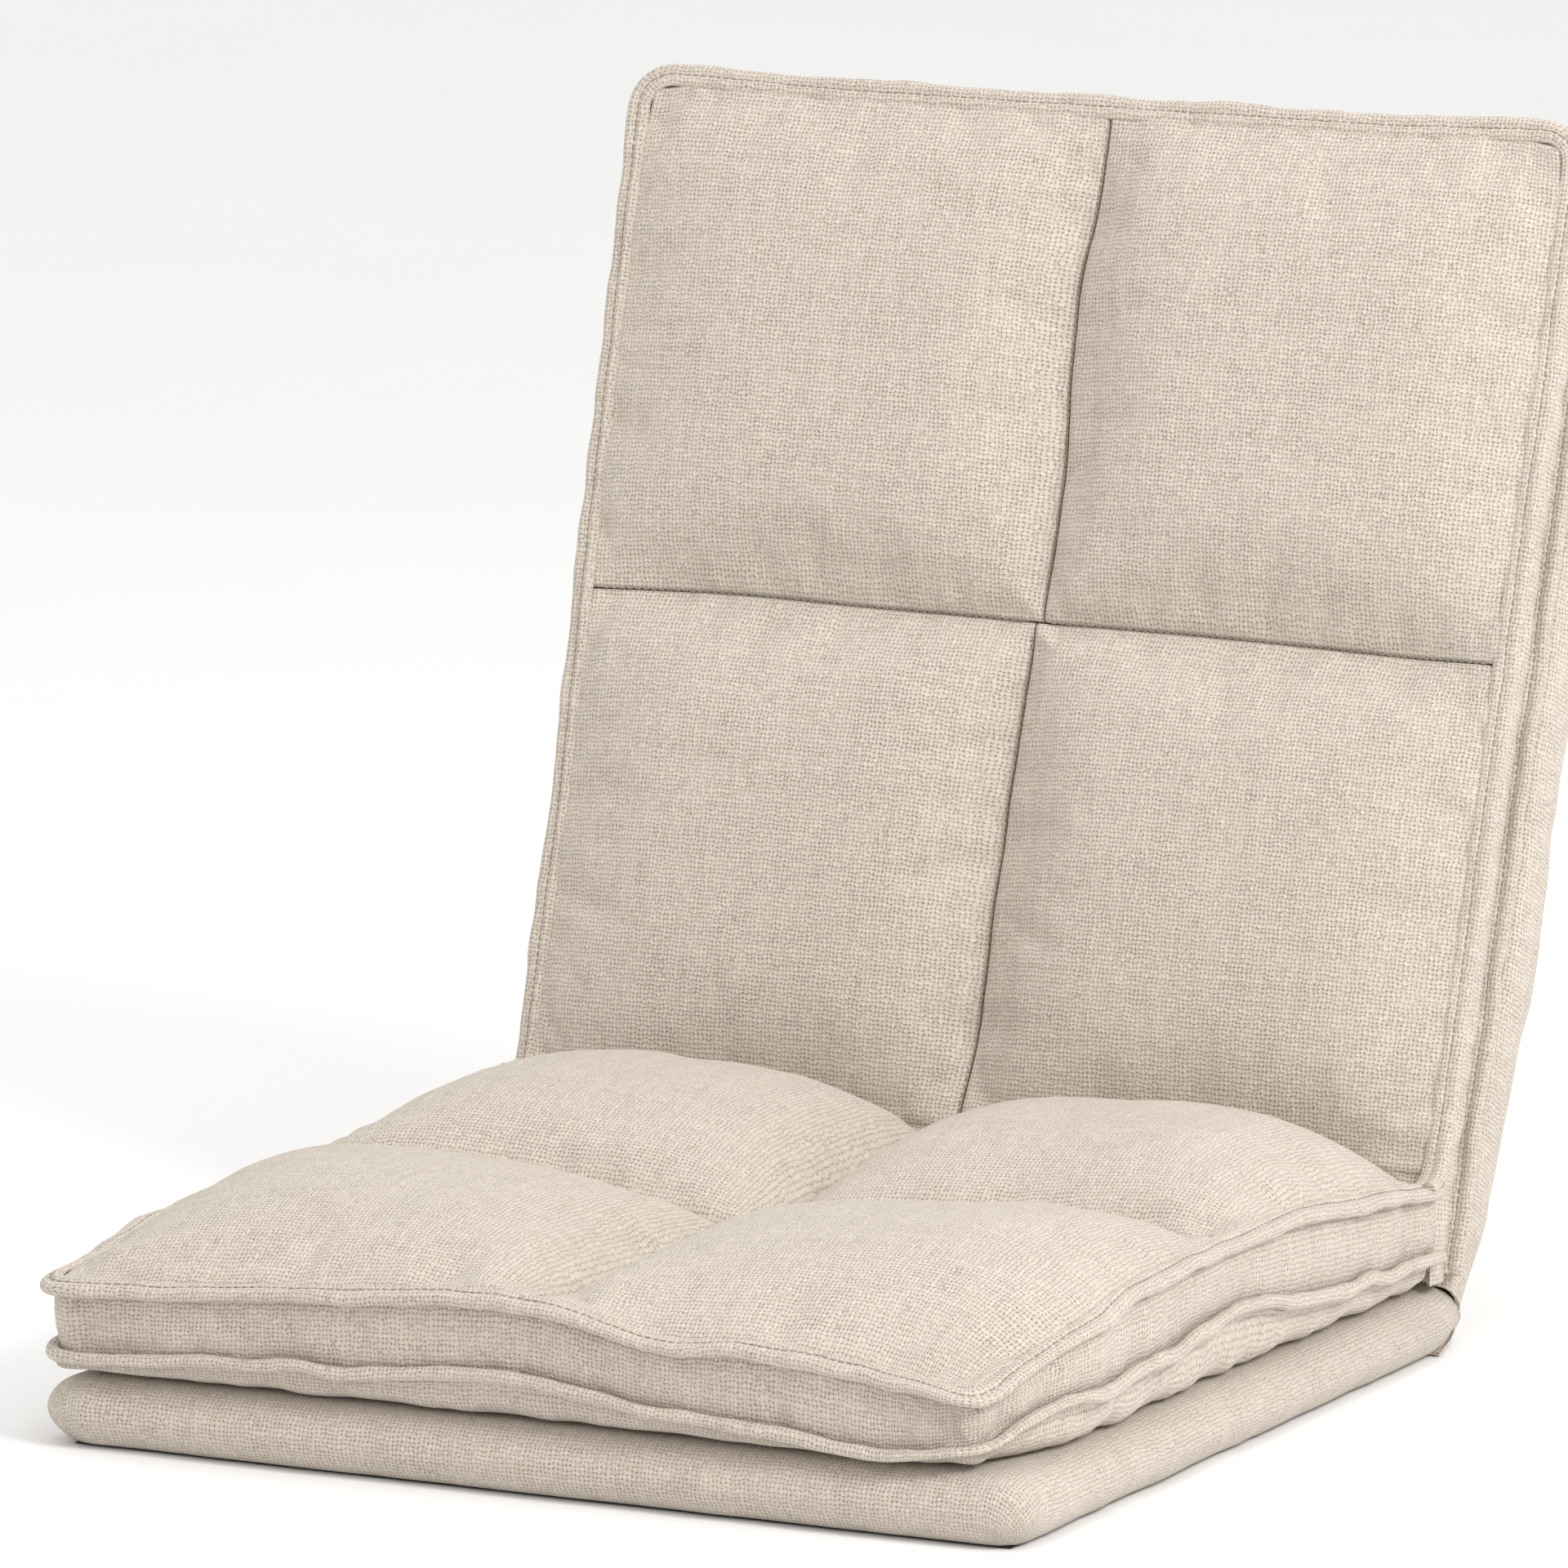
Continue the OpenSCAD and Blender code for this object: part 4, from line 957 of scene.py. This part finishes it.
core_lo, core_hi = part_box("seat_core")
foam_block("foam_seat_core", core_hi.x - 2 * MM, core_lo.y, core_hi.y, core_lo.z + 3 * MM, core_hi.z - 8 * MM,
           seat_world, "seat_section", "seat_core")
core_lo, core_hi = back_box("back_core")
foam_block("foam_back_core", core_hi[0] - 2.5 * MM, 2 * MM, core_hi[1], core_lo[2] + 1 * MM,
           core_hi[2] - 2.5 * MM, back_world, "shell", "back_core")
board_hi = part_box("seat_board")[1]
foam_front, foam_rear = DECK_FRONT + 11 * MM, mitre_in_y - 45 * MM


def deck_world(points):
    return np.stack([points[..., 0], foam_front + foam_rear - points[..., 1], points[..., 2]], -1)


foam_block("foam_deck", board_hi.x, foam_front, foam_rear, board_hi.z + 0.3 * MM, DECK_TOP - 3.4 * MM,
           deck_world, "shell", "deck_foam")
board_n = -back_box("back_board")[1][2]
foam_block("foam_back_shell", board_hi.x, 4 * MM, SHELL_LEN - 10 * MM, -board_n + 0.3 * MM,
           -SHELL_N - 3.4 * MM, back_world, "shell", "back_shell_foam")

# ---- Dust cover, hook-and-loop strips, zip ----

dust_lo, dust_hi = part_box("dust_cover")
gx, gy = lined_grid(dust_lo.x, dust_hi.x, dust_lo.y, dust_hi.y, 60, 62, 0.3)
gap = np.minimum(np.minimum(gx - dust_lo.x, dust_hi.x - gx), np.minimum(gy - dust_lo.y, dust_hi.y - gy))
slack = 0.35 * MM * ripple(gx + 0.4 * gy, 701, 0.12, 0.04, 4) * ripple(gy - 0.3 * gx, 703, 0.15, 0.05, 4)
gz = dust_lo.z + np.clip(0.35 * MM + slack * ramp(gap, 25 * MM), 0, 0.7 * MM)
dust = cloth_piece("lining_dust_cover", np.stack([gx, gy, gz], -1), np.stack([gx, gy], -1),
                   np.array([0, 0, -1.0]), (dust_hi.z - dust_lo.z) * 0.6, levels=0)

# Access holes in the dust cover, under the T-nuts.
NUT_FLANGE_R, ACCESS_R, ACCESS_SIDES = 9.5 * MM, 6 * MM, 40
nut_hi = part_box("seat_tnuts")[1]
fix_x, fix_y = nut_hi.x - NUT_FLANGE_R, nut_hi.y - NUT_FLANGE_R
turn = np.linspace(0, 2 * math.pi, ACCESS_SIDES, endpoint=False)
cutters = []
for hx in (-fix_x, fix_x):
    for hy in (-fix_y, fix_y):
        circle = np.stack([hx + ACCESS_R * np.cos(turn), hy + ACCESS_R * np.sin(turn)], -1)
        sections = np.stack([np.insert(circle, 2, z, 1) for z in (-5 * MM, 6 * MM)])
        cutters.append(swept_piece("cutter", sections, np.zeros((2, ACCESS_SIDES + 1, 2)), levels=0))
cutter = join("cutter", cutters)
cut = dust.modifiers.new("Holes", "BOOLEAN")
cut.operation, cut.object, cut.solver = "DIFFERENCE", cutter, "EXACT"
dust.data = bpy.data.meshes.new_from_object(dust.evaluated_get(bpy.context.evaluated_depsgraph_get()))
dust.modifiers.clear()
bpy.data.objects.remove(cutter)
keep(dust, "shell", "dust_cloth", "dust_cover")

STRIP_LEN, STRIP_W, STRIP_T = 240 * MM, 20 * MM, 0.3 * MM
hook_lo, hook_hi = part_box("deck_hook_strips")
strip_places = [(0.0, hook_lo.y + STRIP_W / 2, False)]      # centre x and y, and whether it runs along y
for side in (-1, 1):
    strip_places.append((side * (hook_hi.x - STRIP_W / 2), hook_hi.y - STRIP_LEN / 2, True))


def fastener(name, z, face, seed):
    """Three strips whose pile is real: rows of small bumps on a woven tape."""
    made = []
    for k, (cx, cy, turned) in enumerate(strip_places):
        u, v = np.meshgrid(np.linspace(-0.5, 0.5, 121), np.linspace(-0.5, 0.5, 15), indexing="ij")
        pile = np.abs(np.sin(u * 60 * math.pi)) * np.abs(np.sin(v * 7 * math.pi)) * ramp(0.5 - np.abs(v), 0.1)
        height = (0.25 + 0.35 * pile + 0.05 * ripple(u, seed + k, 0.3, 0.05)) * MM
        a, b = u * STRIP_LEN, v * STRIP_W
        x, y = (cx - b, cy + a) if turned else (cx + a, cy + b)
        grid, outward = np.stack([x, y, z + face * height], -1), np.array([0, 0, float(face)])
        made.append(cloth_piece(f"{name}_{k}", grid, np.stack([a, b], -1), outward, STRIP_T, levels=0))
    return join(name, made)


keep(fastener("strip_hooks", DECK_TOP, 1, 711), "shell", "hook_and_loop", "deck_hook_strips")
keep(fastener("strip_loops", SEAT_BASE - 0.2 * MM, -1, 721), "seat_section", "hook_and_loop", "loop_strips")

TAPE_Y, TAPE_T = zip_hi.y - 1.6 * MM, 0.6 * MM
TOOTH_STEP, TOOTH_R = 1.5 * MM, 0.42 * MM
tu, tv = np.meshgrid(
    np.linspace(zip_lo.x, zip_hi.x, 120), np.linspace(0.4 * MM, 12 * MM, 8), indexing="ij")
tapes = []
for side in (-1, 1):
    ridge = 0.15 * MM * np.exp(-((tv - 2 * MM) / (1.2 * MM)) ** 2)
    ty = TAPE_Y - 0.05 * MM + ridge + 0.1 * MM * ripple(tu, 731, 0.05, 0.01)
    grid = np.stack([tu, ty, ZIP_Z + side * tv], -1)
    tapes.append(cloth_piece(f"tape_{side}", grid, np.stack([tu, tv], -1), np.array([0, 1.0, 0]), TAPE_T))
tooth_x = np.arange(-ZIP_X, ZIP_X, TOOTH_STEP)
for side in (-1, 1):
    a = np.zeros((len(tooth_x), 3))
    a[:, 0] = tooth_x + 0.5 * TOOTH_STEP * (side > 0)
    a[:, 1:] = TAPE_Y + 0.7 * MM, ZIP_Z + side * 1.9 * MM
    b = a + [0.35 * MM, 0.0, -side * 2.4 * MM]
    tapes.append(capsules(f"coil_{side}", a, b, TOOTH_R, np.tile([0.0, 1.0, 0.0], (len(a), 1)), bow=0.3 * MM))
keep(join("zip_tapes_and_coil", tapes), "seat_section", "zip_tape", "zip_tape")

# ---- Materials ----

class Shader:
    """A material's node tree, written as expressions."""

    def __init__(self, name):
        self.material = bpy.data.materials.new(name)
        self.material.use_nodes = True
        self.tree = self.material.node_tree
        self.bsdf = self.tree.nodes["Principled BSDF"]

    def node(self, kind, **settings):
        made = self.tree.nodes.new("ShaderNode" + kind)
        for key, value in settings.items():
            setattr(made, key, value)
        return made

    def plug(self, socket, value):
        if isinstance(value, bpy.types.NodeSocket):
            self.tree.links.new(value, socket)
        elif value is not None:
            socket.default_value = value

    def math(self, operation, a, b=None, c=None, clamp=False):
        made = self.node("Math", operation=operation, use_clamp=clamp)
        for socket, value in zip(made.inputs, (a, b, c)):
            self.plug(socket, value)
        return made.outputs[0]

    def times(self, a, b):
        return self.math("MULTIPLY", a, b)

    def minus(self, a, b):
        return self.math("SUBTRACT", a, b)

    def times_plus(self, a, b, c):
        return self.math("MULTIPLY_ADD", a, b, c)

    def spread(self, value, low, high, to_low=0.0, to_high=1.0):
        """Smooth step from to_low at low to to_high at high."""
        made = self.node("MapRange", interpolation_type="SMOOTHSTEP")
        for socket, v in zip(made.inputs, (value, low, high, to_low, to_high)):
            self.plug(socket, v)
        return made.outputs[0]

    def vector(self, x, y):
        made = self.node("CombineXYZ")
        for socket, value in zip(made.inputs, (x, y)):
            self.plug(socket, value)
        return made.outputs[0]

    def parts(self, vector):
        made = self.node("SeparateXYZ")
        self.plug(made.inputs[0], vector)
        return made.outputs

    def scaled(self, vector, scale):
        made = self.node("VectorMath", operation="MULTIPLY")
        self.plug(made.inputs[0], vector)
        made.inputs[1].default_value = scale if isinstance(scale, tuple) else (scale,) * 3
        return made.outputs[0]

    def noise(self, vector, scale=1.0, detail=2.0, rough=0.5, dims="3D"):
        made = self.node("TexNoise", noise_dimensions=dims)
        self.plug(made.inputs["Vector"], vector)
        made.inputs["Scale"].default_value = scale
        made.inputs["Detail"].default_value = detail
        made.inputs["Roughness"].default_value = rough
        return made.outputs[0]

    def paint(self, socket, color):
        self.plug(socket, color if isinstance(color, bpy.types.NodeSocket) else (*color, 1.0))

    def mix(self, factor, a, b):
        made = self.node("Mix", data_type="RGBA")
        self.plug(made.inputs[0], factor)
        self.paint(made.inputs[6], a)
        self.paint(made.inputs[7], b)
        return made.outputs[2]

    def bump(self, height, distance, strength=1.0):
        made = self.node("Bump")
        made.inputs["Strength"].default_value = strength
        made.inputs["Distance"].default_value = distance
        self.plug(made.inputs["Height"], height)
        return made.outputs[0]

    def finish(self, color, roughness, normal=None, **constants):
        self.paint(self.bsdf.inputs["Base Color"], color)
        self.plug(self.bsdf.inputs["Roughness"], roughness)
        self.plug(self.bsdf.inputs["Normal"], normal)
        for key, value in constants.items():
            self.bsdf.inputs[key.replace("_", " ")].default_value = value
        return self.material


def woven(name, pitch, light, dark, gap, bump=0.9 * MM, sheen=0.25):
    """Plain weave laid along the cloth's own threads, with slubs, flecks and fuzz, and painted shade between
    the threads: where the yarn lies low the colour runs towards gap, the colour of that painted shade.
    """
    m = Shader(name)
    uv = m.node("UVMap", uv_map="UVMap").outputs[0]
    x, y, _ = m.parts(uv)

    def cloth_noise(place, detail=2.0, rough=0.5):
        return m.noise(place, detail=detail, rough=rough, dims="2D")

    sway_x = cloth_noise(m.scaled(uv, (150.0, 210.0, 1.0)))
    sway_y = cloth_noise(m.scaled(uv, (230.0, 160.0, 1.0)))
    U = m.times_plus(m.minus(sway_x, 0.5), 1.15, m.times(x, 1 / pitch))
    V = m.times_plus(m.minus(sway_y, 0.5), 1.15, m.times(y, 1 / pitch))
    i, j = m.math("FLOOR", U), m.math("FLOOR", V)
    fu, fv = m.minus(m.minus(U, i), 0.5), m.minus(m.minus(V, j), 0.5)
    warp_sign = m.times_plus(m.math("PINGPONG", i, 1.0), -2.0, 1.0)
    weft_sign = m.times_plus(m.math("PINGPONG", j, 1.0), -2.0, 1.0)
    warp_thick = cloth_noise(m.vector(m.times(i, 7.31), m.times(V, 0.055)))
    weft_thick = cloth_noise(m.vector(m.times(U, 0.045), m.times(j, 9.17)))

    def yarn(across, thick):
        radius = m.spread(thick, 0.2, 0.8, 0.43, 0.54)
        inside = m.minus(m.times(radius, radius), m.times(across, across))
        return m.math("SQRT", m.math("MAXIMUM", inside, 0.0))

    wave_warp = m.times(warp_sign, m.math("SINE", m.times(V, math.pi)))
    wave_weft = m.times(weft_sign, m.math("SINE", m.times(U, math.pi)))
    z_warp = m.times_plus(wave_warp, 0.26, yarn(fu, warp_thick))
    z_weft = m.times_plus(wave_weft, -0.26, yarn(fv, weft_thick))
    top = m.math("MAXIMUM", z_warp, z_weft)
    is_warp = m.math("GREATER_THAN", z_warp, z_weft)

    tone_warp = cloth_noise(m.vector(m.times(i, 3.71), m.times(V, 0.22)), 3.0, 0.6)
    tone_weft = cloth_noise(m.vector(m.times(U, 0.10), m.times(j, 4.33)), 3.0, 0.6)
    tone_mix = m.node("Mix", data_type="FLOAT")
    for socket, value in zip(tone_mix.inputs, (is_warp, tone_weft, tone_warp)):
        m.plug(socket, value)
    tone = tone_mix.outputs[0]
    fibre = cloth_noise(m.scaled(uv, 2.9 / pitch), 3.0, 0.7)
    patch = cloth_noise(m.scaled(uv, (22.0, 40.0, 1.0)), 4.0, 0.6)
    crossing = m.node("TexWhiteNoise", noise_dimensions="2D")
    m.plug(crossing.inputs["Vector"], m.vector(i, j))
    slub = m.times(m.spread(tone, 0.56, 0.76, 0.0, 0.34), m.times_plus(is_warp, -0.7, 1.0))
    fleck = m.math("ADD", slub, m.spread(fibre, 0.42, 0.66, 0.0, 0.46))
    fleck = m.math("ADD", fleck, m.times(crossing.outputs[0], 0.24))
    fleck = m.math("ADD", fleck, m.spread(patch, 0.45, 0.75, 0.0, 0.05), clamp=True)
    base = m.mix(fleck, light, dark)
    # Painted shade between the threads: the lower the yarn, the more the colour is mixed towards the gap
    # colour.
    depth = m.spread(m.times_plus(fibre, 0.30, top), 0.30, 0.72)
    color = m.mix(depth, m.mix(0.78, base, gap), base)
    normal = m.bump(m.times_plus(fibre, 0.35, top), bump)
    return m.finish(color, m.spread(tone, 0.2, 0.8, 0.86, 0.98), normal,
                    Sheen_Weight=sheen, Sheen_Roughness=0.55, Specular_IOR_Level=0.2)


# Each weave: thread pitch, colour of the threads, of their dark flecks and of the painted shade in the gaps
# between them.
cloth = woven("upholstery_weave", THREAD_PITCH,
              (0.738, 0.655, 0.565), (0.40, 0.335, 0.275), (0.12, 0.088, 0.062))
lining = woven("dust_cambric", 0.9 * MM,
               (0.05, 0.05, 0.052), (0.026, 0.026, 0.028), (0.008, 0.008, 0.008), 0.12 * MM, 0.1)
tape = woven("zip_tape_weave", 0.7 * MM, (0.62, 0.54, 0.44), (0.45, 0.39, 0.32), (0.22, 0.18, 0.14), 0.1 * MM)
pile = woven("fastener_pile", 1.1 * MM,
             (0.58, 0.51, 0.43), (0.38, 0.33, 0.28), (0.15, 0.13, 0.11), 0.3 * MM, 0.4)


def spun_thread():
    m = Shader("spun_thread")
    place = m.node("TexCoord").outputs["Object"]
    twist = m.noise(m.scaled(place, 1500.0), detail=2.0)
    color = m.mix(m.spread(twist, 0.3, 0.7), (0.22, 0.18, 0.145), (0.38, 0.32, 0.26))
    rough = m.spread(twist, 0.2, 0.8, 0.7, 0.9)
    return m.finish(color, rough, m.bump(twist, 0.15 * MM, 0.6), Sheen_Weight=0.2)


def open_foam():
    m = Shader("open_cell_foam")
    place = m.node("TexCoord").outputs["Object"]
    cells = m.node("TexVoronoi", feature="F1")
    m.plug(cells.inputs["Vector"], place)
    cells.inputs["Scale"].default_value = 700.0
    patch = m.noise(m.scaled(place, 12.0), detail=3.0)
    pore = m.spread(cells.outputs[0], 0.1, 0.7)
    color = m.mix(pore, (0.84, 0.76, 0.52), m.mix(patch, (0.72, 0.62, 0.36), (0.66, 0.58, 0.38)))
    rough = m.spread(patch, 0.2, 0.8, 0.85, 1.0)
    return m.finish(color, rough, m.bump(cells.outputs[0], 0.5 * MM), Specular_IOR_Level=0.2)


def fibre_fill():
    m = Shader("fibre_wadding")
    place = m.node("TexCoord").outputs["Object"]
    tufts = m.noise(m.scaled(place, 90.0), detail=6.0, rough=0.75)
    color = m.mix(m.spread(tufts, 0.35, 0.65), (0.70, 0.69, 0.66), (0.90, 0.89, 0.87))
    return m.finish(color, m.spread(tufts, 0.2, 0.8, 0.85, 1.0), m.bump(tufts, 2 * MM), Sheen_Weight=0.5)


def birch_ply():
    """Face grain along X, and stacked plies on the cut edges."""
    m = Shader("birch_plywood")
    place = m.node("TexCoord").outputs["Object"]
    x, y, z = m.parts(place)
    grain = m.noise(m.scaled(place, (9.0, 150.0, 150.0)), detail=5.0, rough=0.6)
    rings = m.noise(m.scaled(place, (2.0, 22.0, 22.0)), detail=3.0)
    facing = m.parts(m.node("NewGeometry").outputs["Normal"])
    leaning = m.math("ADD", m.times(z, COS), m.times(y, COS))
    plies = m.math("SINE", m.times(leaning, 2 * math.pi / (2.6 * MM)))
    edge = m.math("GREATER_THAN", m.math("ABSOLUTE", facing[0]), 0.6)
    wood = m.mix(m.spread(grain, 0.35, 0.65), (0.62, 0.44, 0.26), (0.76, 0.59, 0.38))
    wood = m.mix(m.spread(rings, 0.4, 0.62, 0.0, 0.35), wood, (0.50, 0.33, 0.18))
    color = m.mix(m.times(edge, m.spread(plies, -0.2, 0.2, 0.0, 0.6)), wood, (0.36, 0.22, 0.12))
    return m.finish(color, m.spread(grain, 0.2, 0.8, 0.55, 0.75), m.bump(grain, 0.2 * MM, 0.5))


def plated_steel():
    m = Shader("zinc_plated_steel")
    place = m.node("TexCoord").outputs["Object"]
    spangle = m.noise(m.scaled(place, 220.0), detail=3.0)
    rub = m.noise(m.scaled(place, (1800.0, 160.0, 400.0)), detail=2.0)
    zinc = (0.72, 0.73, 0.74)
    color = m.mix(m.spread(spangle, 0.3, 0.7), zinc, tuple(0.82 * c for c in zinc))
    rough = m.math("ADD", m.spread(spangle, 0.3, 0.7, 0.22, 0.36), m.times(rub, 0.12))
    return m.finish(color, rough, m.bump(rub, 0.03 * MM, 0.4), Metallic=1.0)


finishes = {
    "upholstery_cloth": cloth, "foam": open_foam(), "wadding": fibre_fill(), "plywood": birch_ply(),
    "plated_steel": plated_steel(), "dust_cloth": lining, "hook_and_loop": pile, "zip_tape": tape,
    "thread": spun_thread(),
}
cad_finishes = {
    "plywood": ("seat_board", "back_board"),
    "plated_steel": (
        "seat_tnuts", "deck_staples", "back_staples", "corner_brackets", "bracket_screws", "zip_slider"),
}
for finish, nodes in cad_finishes.items():
    for node in nodes:
        materials = frame["nodes"][node].data.materials
        materials.clear()
        materials.append(finishes[finish])

# ---- Finishes, bodies, and hiding the CAD parts each piece replaces ----

for obj, body, slot, nodes, fill in pieces.values():
    obj.data.materials.clear()
    obj.data.materials.append(finishes[slot])
    if isinstance(body, tuple):
        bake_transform(obj)
    else:
        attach(obj, body)
    if nodes:
        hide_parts(*nodes)

# ---- Floor, light and camera ----

SPOKES = 64
angles = np.linspace(0, 2 * math.pi, SPOKES, endpoint=False)
circle = np.stack([np.cos(angles), np.sin(angles), 0 * angles], -1)
floor_grid = np.stack([radius * circle for radius in (0.001, 1.5, 4.0, 9.0)], 1)
floor = make_object("floor", floor_grid, grid_quads(*floor_grid.shape[:2], closed=True).tolist())
if floor.data.polygons[0].normal.z < 0:
    floor.data.flip_normals()
pale = Shader("pale_floor")
dapple = pale.noise(pale.node("TexCoord").outputs["Object"], 3.0, 3.0)
floor.data.materials.append(pale.finish(
    pale.mix(dapple, (0.90, 0.90, 0.90), (0.93, 0.93, 0.93)), 0.9, Specular_IOR_Level=0.1))

scene.world = bpy.data.worlds.new("studio")
scene.world.use_nodes = True
color, strength = scene.world.node_tree.nodes["Background"].inputs[:2]
color.default_value, strength.default_value = (1.0, 0.995, 0.985, 1.0), 0.95


def softbox(name, place, size, power):
    """A round area light that looks at the middle of the pad."""
    light = bpy.data.lights.new(name, "AREA")
    light.shape, light.size, light.energy = "DISK", size, power
    obj = bpy.data.objects.new(name, light)
    scene.collection.objects.link(obj)
    obj.location = place
    obj.rotation_euler = (Vector((0.0, 0.05, 0.25)) - Vector(place)).to_track_quat("-Z", "Y").to_euler()


softbox("key", (2.4, -0.7, 1.9), 1.0, 46)
softbox("overhead", (0.2, 0.1, 2.8), 1.6, 12)

CAMERA_AZ, CAMERA_EL, CAMERA_ROLL = math.radians(25.276), math.radians(9.571), math.radians(0.568)
CAMERA_DISTANCE, CAMERA_LENS = 6.3805, 320.9
CAMERA_TARGET = Vector((0.0, 0.080, 0.270))
CAMERA_SHIFT = (-0.0380, 0.0023)
level = math.cos(CAMERA_EL)
toward = Vector((math.sin(CAMERA_AZ) * level, -math.cos(CAMERA_AZ) * level, math.sin(CAMERA_EL)))
right = Vector((math.cos(CAMERA_AZ), math.sin(CAMERA_AZ), 0.0))
above = toward.cross(right)
rolled_right = right * math.cos(CAMERA_ROLL) + above * math.sin(CAMERA_ROLL)
rolled_up = above * math.cos(CAMERA_ROLL) - right * math.sin(CAMERA_ROLL)
camera = bpy.data.objects.new("camera", bpy.data.cameras.new("camera"))
scene.collection.objects.link(camera)
camera.matrix_world = Matrix.Translation(CAMERA_TARGET + toward * CAMERA_DISTANCE) @ Matrix(
    (rolled_right, rolled_up, toward)).transposed().to_4x4()
camera.data.lens, camera.data.sensor_width = CAMERA_LENS, 36.0
camera.data.shift_x, camera.data.shift_y = CAMERA_SHIFT
camera.data.clip_end = 100.0
scene.camera = camera
scene.view_settings.view_transform = "Standard"
